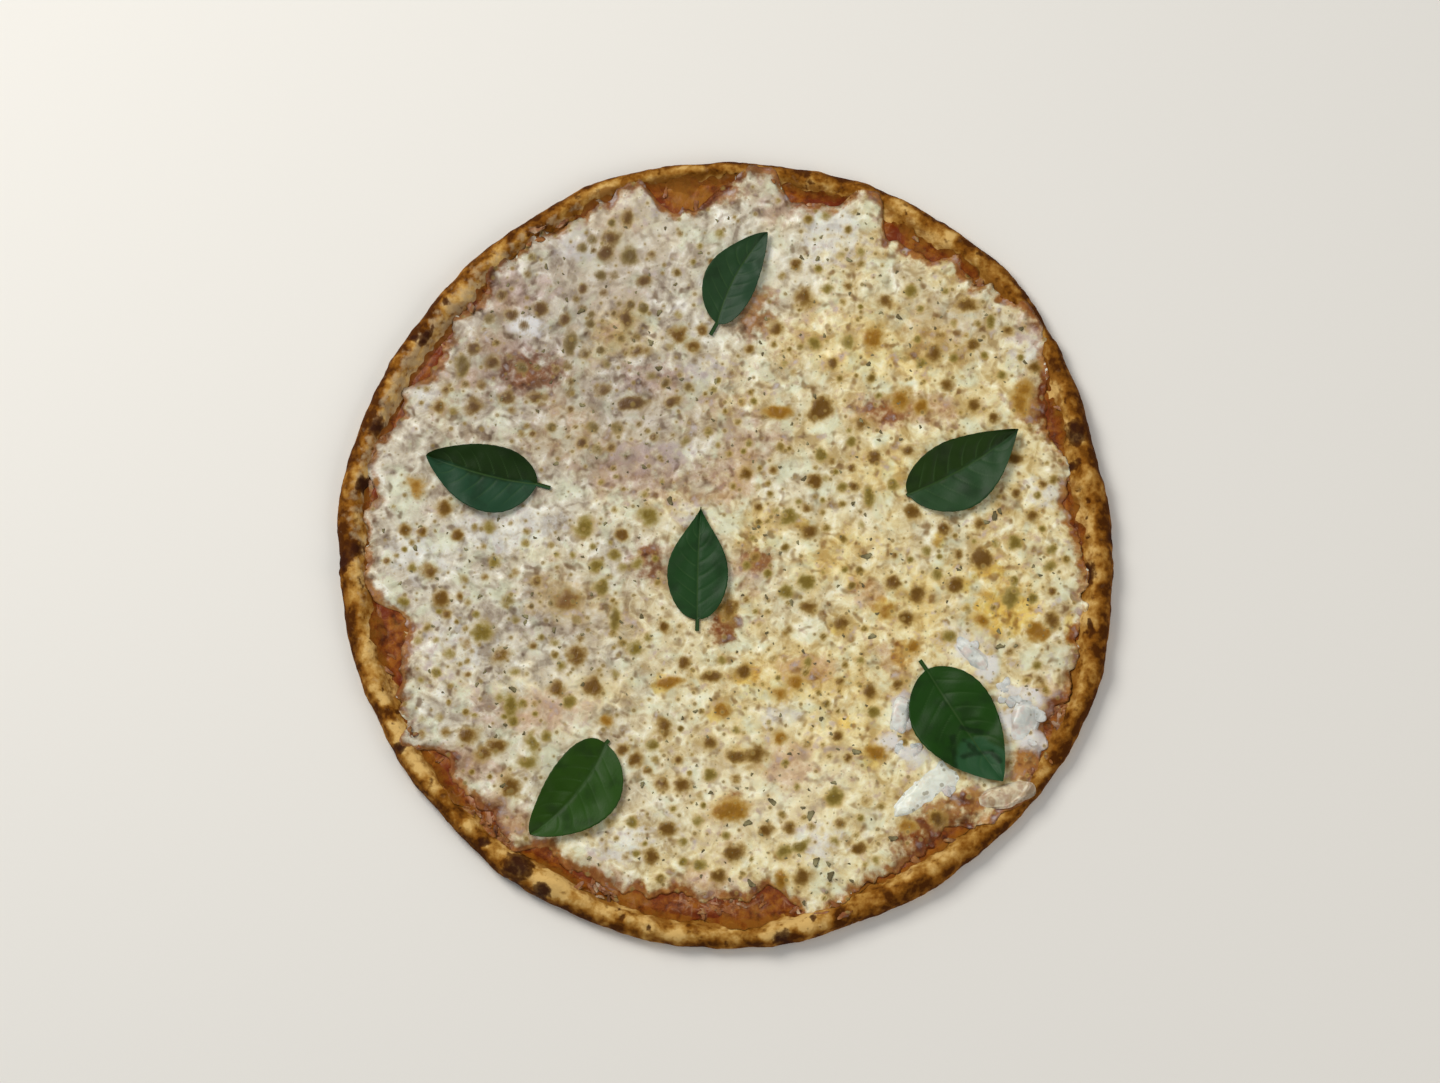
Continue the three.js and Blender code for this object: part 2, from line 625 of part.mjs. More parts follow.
addPiece('crust', crust, FINISHES.crust);
addPiece('tomato_sauce', geometryOf(seated(sauce, [dough])), FINISHES.sauce);
addPiece('cheese', geometryOf(seated(cheese, [dough, sauce])), FINISHES.cheese);
for (const piece of MOZZARELLA) {
  addPiece(piece.name, geometryOf(seated(mozzarella(piece), [dough, sauce, cheese])), FINISHES.mozzarella);
}
for (const leaf of LEAVES) {
  addPiece(leaf.name, leafGeometry(leaf), FINISHES.basil);
}

export default pizza;
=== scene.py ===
"""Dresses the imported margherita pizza: baked crust, tomato sauce, melted cheese with toasted spots
and dried herbs, fresh mozzarella and basil leaves.

Sizes are millimetres and angles are degrees, apart from the studio's, which are metres. An angle
round the pizza runs anticlockwise from +X. Meshes are made in metres in the part's own frame: +Z is
up and the pizza lies on Z = 0, with its middle over the origin.
"""

import logging
import math
from dataclasses import dataclass
from enum import Enum
from typing import Any, Callable, NamedTuple

import bpy
import numpy as np
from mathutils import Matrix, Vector


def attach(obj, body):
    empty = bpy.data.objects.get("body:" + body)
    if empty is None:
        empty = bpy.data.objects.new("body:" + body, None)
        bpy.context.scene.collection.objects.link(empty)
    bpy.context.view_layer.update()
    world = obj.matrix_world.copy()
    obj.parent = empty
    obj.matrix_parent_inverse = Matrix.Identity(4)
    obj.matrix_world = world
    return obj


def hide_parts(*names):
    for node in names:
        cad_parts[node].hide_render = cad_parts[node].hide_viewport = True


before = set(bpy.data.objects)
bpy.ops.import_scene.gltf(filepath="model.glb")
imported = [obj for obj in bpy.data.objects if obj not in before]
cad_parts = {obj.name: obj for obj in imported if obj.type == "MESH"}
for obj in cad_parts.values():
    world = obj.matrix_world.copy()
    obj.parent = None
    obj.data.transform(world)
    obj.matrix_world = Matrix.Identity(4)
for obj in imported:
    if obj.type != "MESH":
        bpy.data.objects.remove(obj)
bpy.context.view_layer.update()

LOG = logging.getLogger("margherita")
BODY = "root"
MM = 0.001
FULL_TURN = 360.0
Array = np.ndarray
Piece = bpy.types.Object
Material = bpy.types.Material
Socket = bpy.types.NodeSocket


# --- Helpers ---


def linear(code: str) -> tuple[float, float, float, float]:
    """Turns an sRGB colour such as "#C8A050" to linear RGBA.

    Args:
        code: The colour as hex digits after a hash sign.

    Returns:
        Linear red, green and blue, and an alpha of 1.
    """
    shares = [int(code[start:start + 2], 16) / 255 for start in (1, 3, 5)]
    light = [share / 12.92 if share <= 0.04045 else ((share + 0.055) / 1.055) ** 2.4 for share in shares]
    return (light[0], light[1], light[2], 1.0)


class Graph:
    """A node tree under construction."""

    def __init__(self, tree: bpy.types.NodeTree) -> None:
        """Starts on an empty tree."""
        self.tree = tree

    def add(self, kind: str, inputs: dict | None = None, output: int | str = 0, **settings: Any) -> Any:
        """Adds one node with its settings and links.

        Args:
            kind: The node's class name.
            inputs: For each input's name or index, a value, a hex colour or the socket it is linked to.
            output: Name or index of the output that is wanted.
            **settings: The node's own properties; `stops` pairs a ramp's places and hex colours.

        Returns:
            The wanted output socket, or None for a node without outputs.
        """
        node = self.tree.nodes.new(kind)
        stops = settings.pop("stops", ())
        for name, value in settings.items():
            setattr(node, name, value)
        for number, (place, colour) in enumerate(stops):
            ramp = node.color_ramp.elements
            stop = ramp[number] if number < 2 else ramp.new(place)
            stop.position, stop.color = place, linear(colour)
        for key, value in (inputs or {}).items():
            if isinstance(value, Socket):
                self.tree.links.new(value, node.inputs[key])
            elif isinstance(value, str) and value.startswith("#"):
                node.inputs[key].default_value = linear(value)
            else:
                node.inputs[key].default_value = value
        return node.outputs[output] if len(node.outputs) else None


def bell(distance: Array, spread: Array | float) -> Array:
    """Bell curve: 1 at the middle, and 1/e at a distance of `spread`."""
    return np.exp(-((distance / spread) ** 2))


def smooth(value: Array, start: float, end: float) -> Array:
    """Rises smoothly from 0 at `start` to 1 at `end`."""
    share = np.clip((value - start) / (end - start), 0, 1)
    return share * share * (3 - 2 * share)


def lerp(start: Any, end: Any, share: Any) -> Any:
    """Runs from `start` to `end` as the share goes from 0 to 1."""
    return start + (end - start) * share


def angle_between(a: Array, b: float) -> Array:
    """Smaller angle from `b` to `a`, between -180 and 180."""
    return (a - b + FULL_TURN / 2) % FULL_TURN - FULL_TURN / 2


def polar(angle: Any, radius: Any) -> tuple[Any, Any]:
    """Point at an angle and a radius from the pizza's middle."""
    return radius * np.cos(np.radians(angle)), radius * np.sin(np.radians(angle))


def angle_of(x: Array, y: Array) -> Array:
    """Angle of a point round the pizza."""
    return np.degrees(np.arctan2(y, x))


def swirl(x: Array, y: Array, wavelength: float) -> Array:
    """Gives an uneven smooth field by the solids' own rule.

    Args:
        x, y: The places.
        wavelength: Twice the width of a bump, about.

    Returns:
        Values between -1 and 1.
    """
    k = 2 * math.pi / wavelength
    along = np.sin(k * (x + 0.35 * y) + 2.1 * np.sin(0.61 * k * y + 1.3))
    across = np.sin(k * (0.93 * y - 0.41 * x) + 1.7 * np.sin(0.57 * k * x + 0.4))
    return (along + across) / 2


def soft_max(a: Array, b: Array, blend: float) -> Array:
    """The larger of two heights, with the crease between them rounded over about `blend`."""
    share = np.clip(0.5 + (a - b) / (2 * blend), 0, 1)
    return lerp(b, a, share) + blend * share * (1 - share)


def draws(seed: int) -> Callable[[], float]:
    """Gives a function of seeded draws between 0 and 1, the same as the solids' own."""
    multiplier, modulus = 16807, 2147483647
    state = seed

    def draw() -> float:
        """Makes one draw."""
        nonlocal state
        state = (state * multiplier) % modulus
        return state / modulus

    return draw


class Bumps(NamedTuple):
    """Seeded smooth noise: the width of its largest bumps, its seed, and its number of layers, each
    half as wide and half as high as the one before."""

    size: float
    seed: int
    layers: int = 1

    def at(self, points: Array) -> Array:
        """Gives the noise in space.

        Args:
            points: Places, one row of X, Y and Z for each.

        Returns:
            Values between about -1 and 1, one for each place.
        """
        cells, usual_peak = 64, 0.6
        total, reach = np.zeros(len(points)), 0.0
        for number in range(self.layers):
            finer = 2**number
            lattice = np.random.default_rng(self.seed + number).uniform(-1, 1, (cells, cells, cells))
            place = points / (self.size / finer)
            low = np.floor(place).astype(int)
            share = smooth(place - low, 0, 1)
            layer = np.zeros(len(points))
            for corner in np.ndindex(2, 2, 2):
                weight = np.prod(np.where(corner, share, 1 - share), axis=1)
                layer += weight * lattice[tuple(((low + corner) % cells).T)]
            total += layer / finer
            reach += usual_peak / finer
        return total / reach

    def over(self, x: Array, y: Array) -> Array:
        """Gives the noise over the plan."""
        return self.at(np.stack([x, y, np.zeros_like(x)], axis=1))


def set_fields(mesh: bpy.types.Mesh, fields: dict[str, Array]) -> None:
    """Stores named values on a mesh, one for each point and name."""
    for name, values in fields.items():
        attribute = mesh.attributes.new(name, "FLOAT", "POINT")
        attribute.data.foreach_set("value", np.asarray(values, dtype=np.float32))


def make_piece(name: str, points: Array, faces: list, material: Material,
               fields: dict[str, Array] | None = None) -> Piece:
    """Makes a smooth-shaded mesh object at the origin.

    Args:
        name: The piece's name.
        points: Places in millimetres.
        faces: Rows of point numbers, anticlockwise seen from outside.
        material: The piece's only material.
        fields: Named values, one for each point, that the material reads.

    Returns:
        The object, linked to the scene.
    """
    mesh = bpy.data.meshes.new(name)
    mesh.from_pydata((np.asarray(points) * MM).tolist(), [], faces)
    mesh.materials.append(material)
    mesh.shade_smooth()
    set_fields(mesh, fields or {})
    piece = bpy.data.objects.new(name, mesh)
    bpy.context.collection.objects.link(piece)
    return piece


def ring_faces(rings: list[Array]) -> list[list[int]]:
    """Joins a row of rings with the same number of points, or a single point at either end.

    Args:
        rings: Point numbers, from the middle of the underside outwards, up and back over the top.

    Returns:
        Quads, and triangles where a ring is a single point.
    """
    faces: list[list[int]] = []
    for first, second in zip(rings, rings[1:]):
        count = max(len(first), len(second))
        a, b = (np.resize(ring, count) for ring in (first, second))
        following = (np.arange(count) + 1) % count
        if len(first) == 1:
            faces += np.stack([a, b[following], b], axis=1).tolist()
        elif len(second) == 1:
            faces += np.stack([a, a[following], b], axis=1).tolist()
        else:
            faces += np.stack([a, a[following], b[following], b], axis=1).tolist()
    return faces


def shell(rings: list[Array], bottom: float, top: float) -> tuple[Array, list[list[int]]]:
    """Closes rings round the pizza's middle into a shell.

    Args:
        rings: Each ring's places, from the underside outwards and back over the top.
        bottom: Height of the middle of the underside.
        top: Height of the middle of the top.

    Returns:
        The shell's points and its faces.
    """
    count = len(rings[0])
    points = np.concatenate([[[0, 0, bottom], [0, 0, top]], *rings])
    numbers = [np.arange(count) + 2 + count * row for row in range(len(rings))]
    return points, ring_faces([np.array([0]), *numbers, np.array([1])])


# --- Form of the pizza ---


class Wave(NamedTuple):
    """A wave round the pizza: its number of lobes, its height and the angle of one crest."""

    lobes: int
    height: float
    at: float


class Swells(NamedTuple):
    """Soft swells: their wavelength, their height and the shift of their pattern."""

    wavelength: float
    height: float
    dx: float = 0
    dy: float = 0

    def at(self, x: Array, y: Array) -> Array:
        """Height of the swells at a place."""
        return self.height * swirl(x + self.dx, y + self.dy, self.wavelength)


class Stretch(NamedTuple):
    """A stretch of the rim that is wider or narrower, and higher or lower, than usual."""

    angle: float
    spread: float
    width: float
    height: float


class Puff(NamedTuple):
    """A round puff on the rim, at a distance inside the outer edge."""

    angle: float
    inset: float
    radius: float
    height: float


class Bay(NamedTuple):
    """A bay where the cheese stops short of the rim, or a spill where its depth is negative."""

    angle: float
    spread: float
    depth: float


class Mark(NamedTuple):
    """An oval patch: its middle, its length, its width (0 for a round one) and its turn."""

    x: float
    y: float
    length: float
    width: float = 0.0
    turn: float = 0.0

    def nearness(self, x: Array, y: Array) -> Array:
        """Gives 1 in the patch's middle, 0 on its edge and less than 0 outside it."""
        c, s = polar(self.turn, 1)
        along = ((x - self.x) * c + (y - self.y) * s) / (self.length / 2)
        across = ((y - self.y) * c - (x - self.x) * s) / ((self.width or self.length) / 2)
        return 1 - np.hypot(along, across)


def marked(x: Array, y: Array, marks: tuple, softness: float = 0.6) -> Array:
    """Strength of a group of soft-edged patches.

    Args:
        x, y: The places.
        marks: The patches, each as the values of a Mark.
        softness: Share of a patch's radius over which it fades, on both sides of its edge.

    Returns:
        The strength at each place, from 0 to 1.
    """
    total = np.zeros_like(x)
    for mark in marks:
        total = np.maximum(total, smooth(Mark(*mark).nearness(x, y), -softness, softness))
    return total


@dataclass(frozen=True)
class PizzaForm:
    """Plan and heights of the pizza, by the same sizes and rules as its solids."""

    width: float = 331
    depth: float = 343
    gap: float = 0.3
    base_thickness: float = 3.6
    rim_height: float = 9.8
    rim_width: float = 12.5
    belly_height: float = 3.8
    under_curve: float = 5
    crest_share: float = 0.42
    rim_lumps: Swells = Swells(19, 0.6)
    relief_fade: float = 4
    sauce_thickness: float = 1
    sauce_climb: float = 3
    sauce_edge_share: float = 0.45
    sauce_edge_width: float = 5
    sauce_ripples: Swells = Swells(12, 0.15)
    cheese_thickness: float = 2.5
    cheese_margin: float = 13
    cheese_nearest: float = 2.6
    cheese_swells: Swells = Swells(38, 0.45)
    cheese_lumps: Swells = Swells(17, 0.25, 50, -20)
    cheese_on_rim: float = 1.3
    cheese_blend: float = 1.2
    outline_waves: tuple = (
        Wave(1, 1.4, 20), Wave(3, 0.8, -55), Wave(4, 0.8, -27), Wave(5, 0.9, -28), Wave(6, 0.5, -17),
        Wave(11, 0.35, 8), Wave(17, 0.3, 3),
    )
    cheese_waves: tuple = (Wave(19, 1.3, 4), Wave(31, 1.1, 7), Wave(47, 0.8, 2))
    sauce_waves: tuple = (Wave(13, 0.7, 11), Wave(29, 0.5, 5))
    stretches: tuple = (
        Stretch(12, 13, 3, 0.9), Stretch(36, 8, -3, -2.2), Stretch(67, 4, -2.5, -1.8),
        Stretch(97, 17, -4, -0.8), Stretch(135, 9, 3, 0.8), Stretch(186, 12, 2, 0.3), Stretch(242, 8, 3, 1.2),
        Stretch(300, 12, 3, 0.4), Stretch(320, 6, -3, -1.8), Stretch(349, 9, 3, 0.6),
    )
    puffs: tuple = (
        Puff(237, 8, 5.5, 2.2), Puff(243, 11, 7, 1.8), Puff(258.5, 9, 4.5, 1.3), Puff(277.5, 8, 4.5, 1.2),
        Puff(334, 7, 6, 1.2), Puff(350, 10, 6.5, 1.5), Puff(11, 10, 5, 1.5), Puff(20.5, 8, 4.5, 1.7),
        Puff(134, 12, 7, 1.6), Puff(159, 8, 4.5, 1.4), Puff(168.5, 8, 4.5, 1.3), Puff(220, 9, 5, 1.4),
    )
    bays: tuple = (
        Bay(9, 6, 5), Bay(22, 6, 7), Bay(37.5, 6.5, -12), Bay(49, 4, 4), Bay(60, 4.5, 9), Bay(68.5, 2.5, -12),
        Bay(85, 3.5, -8), Bay(95, 4.5, 9), Bay(103, 2.5, -7), Bay(121.5, 2.5, -6), Bay(130, 4, 2),
        Bay(144, 5, 8), Bay(157, 4, 3), Bay(166, 3, -3), Bay(191, 4, 11), Bay(197, 3, 7), Bay(211, 2.5, -7),
        Bay(218, 4, 5), Bay(229, 5, 2), Bay(243, 5, 8), Bay(250, 2.5, -2), Bay(258, 6, 9), Bay(269, 7, 9),
        Bay(278, 3.5, 13), Bay(285, 4, -9), Bay(302, 8, 4), Bay(321, 6, -9), Bay(333, 4, 5), Bay(350, 7, 3),
    )

    def waves(self, angle: Array, waves: tuple) -> Array:
        """Sum of waves round the pizza at an angle."""
        return sum(wave.height * np.cos(np.radians(wave.lobes * (angle - wave.at))) for wave in waves)

    def features(self, angle: Array, features: tuple, value: str) -> Array:
        """Sum of one value of the local features round the pizza, each fading over its spread."""
        return sum(
            getattr(item, value) * bell(angle_between(angle, item.angle), item.spread) for item in features
        )

    def outline(self, angle: Array) -> Array:
        """Radius of the pizza's outer edge."""
        a, b = self.width / 2, self.depth / 2
        c, s = polar(angle, 1)
        return a * b / np.hypot(b * c, a * s) + self.waves(angle, self.outline_waves)

    def inset(self, x: Array, y: Array) -> Array:
        """Distance of a place inside the outer edge."""
        return self.outline(angle_of(x, y)) - np.hypot(x, y)

    def rim_width_at(self, angle: Array) -> Array:
        """Width of the rim at an angle."""
        return self.rim_width + self.features(angle, self.stretches, "width")

    def rim_height_at(self, angle: Array) -> Array:
        """Height of the rim's crest at an angle."""
        return self.rim_height + self.features(angle, self.stretches, "height")

    def sauce_margin_at(self, angle: Array) -> Array:
        """Distance from the outer edge to the sauce."""
        return self.rim_width_at(angle) - self.sauce_climb + self.waves(angle, self.sauce_waves)

    def cheese_margin_at(self, angle: Array) -> Array:
        """Distance from the outer edge to the cheese."""
        margin = self.cheese_margin + self.features(angle, self.bays, "depth")
        return np.maximum(margin + self.waves(angle, self.cheese_waves), self.cheese_nearest)

    def rim_relief(self, x: Array, y: Array, fade: Array) -> Array:
        """Lumps and puffs that stand on the rim."""
        total = self.rim_lumps.at(x, y)
        for puff in self.puffs:
            px, py = polar(puff.angle, self.outline(puff.angle) - puff.inset)
            total = total + puff.height * bell(np.hypot(x - px, y - py), puff.radius)
        return fade * total

    def dough_top(self, x: Array, y: Array) -> Array:
        """Height of the dough's upper surface: flat base, inner slope and rounded outer side."""
        angle = angle_of(x, y)
        width, height = self.rim_width_at(angle), self.rim_height_at(angle)
        inset = np.clip(self.inset(x, y), 0, width)
        crest = self.crest_share * width
        relief = self.rim_relief(x, y, smooth(width - inset, 0, self.relief_fade))
        fall = (1 + np.cos(math.pi * np.maximum(inset - crest, 0) / (width - crest))) / 2
        rise = np.sqrt(np.clip(1 - (1 - inset / crest) ** 2, 0, 1))
        slope = lerp(self.base_thickness, height, fall) + relief
        side = lerp(self.belly_height, height + relief, rise)
        return np.where(inset > crest, slope, side)

    def sauce_top(self, x: Array, y: Array) -> Array:
        """Height of the sauce, which thins out towards its edge on the rim's slope."""
        from_edge = self.inset(x, y) - self.sauce_margin_at(angle_of(x, y))
        share = lerp(self.sauce_edge_share, 1, smooth(from_edge, 0, self.sauce_edge_width))
        return self.dough_top(x, y) + self.gap + self.sauce_thickness * share + self.sauce_ripples.at(x, y)

    def cheese_seat(self, x: Array, y: Array) -> Array:
        """Height of whatever the cheese lies on."""
        on_sauce = self.inset(x, y) > self.sauce_margin_at(angle_of(x, y))
        return np.where(on_sauce, self.sauce_top(x, y), self.dough_top(x, y))

    def cheese_top(self, x: Array, y: Array) -> Array:
        """Height of the melted cheese away from its rounded edge, without its blisters."""
        level = self.base_thickness + self.sauce_thickness + self.cheese_thickness + 2 * self.gap
        waves = self.cheese_swells.at(x, y) + self.cheese_lumps.at(x, y)
        over_rim = self.dough_top(x, y) + self.gap + self.cheese_on_rim
        return soft_max(level + waves, over_rim, self.cheese_blend)


class Leaf(NamedTuple):
    """A basil leaf's place, sizes, bends and colours.

    The blade starts at (x, y) and runs towards `turn`. `bend` bows its midrib to the left, `lean`
    widens its left half, `fold` and `wave` lift its margins and `curl` lifts its tip. The lower
    `base` and `tip` are, the blunter is that end of the blade. `left` and `right` colour its halves;
    their blue-green tint, strongest on one half of the left and right leaves, is a painted reflection
    of the sky. Its painted sheen starts at the share `sheen_from` of its length. Each crease is a
    straight line between two places, both given as a share of the length and a distance left of the
    midrib.
    """

    name: str
    x: float
    y: float
    turn: float
    length: float
    width: float
    stalk: float
    bend: float
    lean: float
    fold: float
    wave: float
    curl: float
    base: float
    tip: float
    left: str
    right: str
    sheen_from: float = 2.0
    creases: tuple = ()

    def distance(self, x: Any, y: Any) -> Any:
        """Distance from a point to the line from the leaf's stalk to its tip."""
        dx, dy = polar(self.turn, 1)
        along = np.clip((x - self.x) * dx + (y - self.y) * dy, -self.stalk, self.length)
        return np.hypot(x - self.x - along * dx, y - self.y - along * dy)


class Curd(NamedTuple):
    """A piece of fresh mozzarella: its place, its sizes with the height over the cheese, its turn,
    the share of its width that it loses towards its start, and the seed of its lumps."""

    name: str
    x: float
    y: float
    length: float
    width: float
    height: float
    turn: float
    taper: float
    seed: int


# The blue-green in the leaves' colours is a painted reflection of the sky, strongest on one half of the left
# and right leaves.
LEAVES = (
    Leaf("basil_leaf_far", -3.5, 100, 61.5, 45, 22.5, 6, 3, 0.08, 1.8, 1.2, 1.5, 0.7, 0.8,
         "#213C20", "#26402A"),
    Leaf("basil_leaf_left", -80.5, 29.5, 165, 49, 29.5, 6, 2, 0.1, 2.6, 1.3, 1, 0.75, 0.75,
         "#20402A", "#142A04"),
    Leaf("basil_leaf_right", 77.9, 25, 31, 55, 30.5, 0.8, -2.4, -0.12, 2.8, 1.4, 1.5, 0.7, 0.95,
         "#1C3206", "#264224"),
    Leaf("basil_leaf_middle", -12, -29.5, 88.2, 49, 26, 5, 0.5, 0, 1.6, 1, 0.6, 0.6, 1.3,
         "#1D3E1A", "#1F401E"),
    Leaf("basil_leaf_near_right", 85.7, -51.4, -56.5, 58.5, 36, 5, -0.5, -0.08, 1.8, 2.2, 2.4, 0.75, 0.8,
         "#1A3E08", "#183C08", 0.55, (
             (0.5, -0.8, 0.57, 2.5), (0.57, 2.5, 0.64, 7), (0.52, -6.5, 0.74, -12.5),
             (0.59, -2.9, 0.72, -1.5), (0.72, -1.5, 0.77, 3.5), (0.77, 3.5, 0.87, 4.1),
             (0.72, -1.5, 0.69, -7.5),
         )),
    Leaf("basil_leaf_near_left", -51, -83.3, 231, 51, 31.5, 2, 4, 0.1, 2, 1.3, 0.8, 0.6, 0.65,
         "#264710", "#203E02"),
)
CURDS = (
    Curd("mozzarella_strip", 84, -104.5, 37, 19, 2.1, 36, 0.7, 1),
    Curd("mozzarella_curd_left", 74.5, -71, 17, 11, 1.7, 75, 0.2, 2),
    Curd("mozzarella_curd_upper", 106, -45, 23, 9, 1.8, -42, 0.3, 3),
    Curd("mozzarella_curd_right", 127, -72, 24, 14, 2.1, 72, 0.2, 4),
    Curd("mozzarella_curd_rim", 119, -105.5, 23, 12, 2.2, 12, 0.3, 5),
)


class Strewn(NamedTuple):
    """A bay strewn with stray shreds: its middle angle and its spread, the nearest and the farthest
    shred's distance inside the outer edge, and their number."""

    angle: float
    spread: float
    first: float
    last: float
    count: int


STREWN = (
    Strewn(46, 4, 10, 16, 6), Strewn(84, 4, 6, 10, 5), Strewn(121.5, 2, 5, 10, 5), Strewn(163, 2.5, 7, 13, 8),
    Strewn(211, 2.5, 5, 14, 8), Strewn(229, 6, 8, 20, 24), Strewn(250, 3, 9, 19, 14),
    Strewn(269, 6, 14, 25, 18), Strewn(285, 4, 3, 12, 10), Strewn(325, 3, 5, 14, 8),
    Strewn(332, 5, 8, 14, 12),
)


class Scatter(NamedTuple):
    """Points strewn over the open cheese, as the solids do it: the seed of the draws, the number that
    is wanted, the least distance between two, and the least distance to leaves and mozzarella."""

    seed: int
    count: int
    spacing: float
    room: float

    def over(self, form: PizzaForm) -> list[tuple]:
        """Draws the points.

        Args:
            form: The pizza's plan.

        Returns:
            X, Y and one spare draw for each point.
        """
        tries, from_edge, leaf_reach = 60 * self.count, 5, 0.62
        draw = draws(self.seed)
        points: list[tuple] = []
        for _ in range(tries):
            angle, share, spare = FULL_TURN * draw(), math.sqrt(draw()), draw()
            margin = form.cheese_margin_at(angle) + from_edge
            x, y = (float(value) for value in polar(angle, share * (form.outline(angle) - margin)))
            crowded = any(math.hypot(x - px, y - py) < self.spacing for px, py, _ in points)
            leafy = any(leaf.distance(x, y) < leaf.width * leaf_reach + self.room for leaf in LEAVES)
            milky = any(math.hypot(x - curd.x, y - curd.y) < curd.length / 2 + self.room for curd in CURDS)
            if not (crowded or leafy or milky):
                points.append((x, y, spare))
            if len(points) == self.count:
                break
        return points


# --- Finishes ---

NOISE = "ShaderNodeTexNoise"
VORONOI = "ShaderNodeTexVoronoi"
MATH = "ShaderNodeMath"
MIX = "ShaderNodeMix"
MIX_FACTOR, MIX_A, MIX_B, MIX_COLOUR = 0, 6, 7, 2
RANGE = "ShaderNodeMapRange"
RAMP = "ShaderNodeValToRGB"
BUMP = "ShaderNodeBump"
PRINCIPLED = "ShaderNodeBsdfPrincipled"


class Blend(Enum):
    """How a tint is laid on: a cover hides the colour below it, and a stain darkens it."""

    COVER = "MIX"
    STAIN = "MULTIPLY"


class Tint(NamedTuple):
    """A tint where one of the piece's named values is high.

    The value's edges are frayed by bumps `grain` wide, up and down by `fray`. The tint starts to
    show at the value `start`, and shows most, by the share `most`, from `end` on.
    """

    field: str
    colour: str
    start: float
    end: float
    most: float
    grain: float = 4.0
    fray: float = 0.35
    blend: Blend = Blend.COVER


class Surface(Graph):
    """A material's node tree, with the patterns that several finishes share."""

    def __init__(self, tree: bpy.types.NodeTree) -> None:
        """Starts on an empty tree, with the object's own coordinates as `place`."""
        super().__init__(tree)
        self.place = self.add("ShaderNodeTexCoord", output="Object")

    def grid(self, size: float) -> dict[str, Any]:
        """Gives the inputs that make a pattern's cells `size` millimetres wide."""
        return {"Vector": self.place, "Scale": 1 / (size * MM)}

    def field(self, name: str) -> Socket:
        """Reads one of the piece's own named values."""
        return self.add("ShaderNodeAttribute", output="Fac", attribute_name=name, attribute_type="GEOMETRY")

    def frayed(self, value: Socket | str, size: float, depth: float) -> Socket:
        """Frays the edges of a field with noise.

        Args:
            value: The field, or the name of one of the piece's own values.
            size: Width of the noise's bumps.
            depth: How far the noise moves the field, up and down.

        Returns:
            The frayed field.
        """
        field = self.field(value) if isinstance(value, str) else value
        grain = self.add(NOISE, self.grid(size) | {"Detail": 3.0})
        shift = self.add(RANGE, {"Value": grain, "From Min": 0.3, "From Max": 0.7,
                                 "To Min": -depth, "To Max": depth})
        return self.add(MATH, {0: field, 1: shift}, operation="ADD")

    def tinted(self, colour: Any, tint: Any, value: Socket, start: float, end: float,
               most: float = 1.0, blend: Blend = Blend.COVER) -> Socket:
        """Lays a tint over a colour where a field is high.

        Args:
            colour: The colour below, as hex digits or a socket.
            tint: The colour on top, as hex digits or a socket.
            value: The field that says where.
            start: The field's value at which the tint starts to show.
            end: The field's value at which it shows most.
            most: The tint's greatest share.
            blend: How the tint is laid on.

        Returns:
            The mixed colour.
        """
        share = self.add(RANGE, {"Value": value, "From Min": start, "From Max": end, "To Max": most},
                         interpolation_type="SMOOTHSTEP")
        return self.add(MIX, {MIX_FACTOR: share, MIX_A: colour, MIX_B: tint}, MIX_COLOUR,
                        data_type="RGBA", blend_type=blend.value)

    def dressed(self, colour: Any, tints: tuple[Tint, ...]) -> Any:
        """Lays a row of tints over a colour, one after the other."""
        for tint in tints:
            value = self.frayed(tint.field, tint.grain, tint.fray)
            colour = self.tinted(colour, tint.colour, value, tint.start, tint.end, tint.most, tint.blend)
        return colour

    def strands(self, length: float, width: float, turns: tuple) -> Socket:
        """Adds criss-cross strands: noise drawn out in several directions.

        Args:
            length: A strand's length.
            width: A strand's width.
            turns: The directions in radians.

        Returns:
            A field that is high on the strands.
        """
        highest = None
        for turn in turns:
            turned = self.add("ShaderNodeMapping", {
                "Vector": self.place, "Rotation": (0.0, 0.0, turn),
                "Scale": (length * MM, width * MM, length * MM),
            }, vector_type="TEXTURE")
            grain = self.add(NOISE, {"Vector": turned, "Scale": 1.0, "Detail": 2.0, "Distortion": 0.6})
            if highest is not None:
                grain = self.add(MATH, {0: highest, 1: grain}, operation="MAXIMUM")
            highest = grain
        return self.add(RANGE, {"Value": highest, "From Min": 0.48, "From Max": 0.74})

    def flecks(self, cell: float, reach: float) -> Socket:
        """Scatters small round flecks, one at most in each cell.

        Args:
            cell: Width of a cell.
            reach: Radius of the largest flecks, as a share of a cell.

        Returns:
            A field above 0 on the flecks.
        """
        draw = self.add(VORONOI, self.grid(cell), "Color", voronoi_dimensions="2D")
        distance = self.add(VORONOI, self.grid(cell), "Distance", voronoi_dimensions="2D")
        share = self.add("ShaderNodeSeparateColor", {"Color": draw}, "Red")
        radius = self.add(RANGE, {"Value": share, "From Min": 0.35, "From Max": 1.0,
                                  "To Min": 0.0, "To Max": reach})
        return self.add(MATH, {0: radius, 1: distance}, operation="SUBTRACT")


@dataclass(frozen=True)
class Finish:
    """A surface finish, built as one material."""

    name: str = "finish"

    def material(self) -> Material:
        """Builds the material."""
        material = bpy.data.materials.new(self.name)
        material.use_nodes = True
        material.node_tree.nodes.clear()
        graph = Surface(material.node_tree)
        graph.add("ShaderNodeOutputMaterial", {"Surface": self.shader(graph)})
        return material

    def shader(self, graph: Surface) -> Socket:
        """Adds the finish's nodes and gives the shader's output."""
        raise NotImplementedError


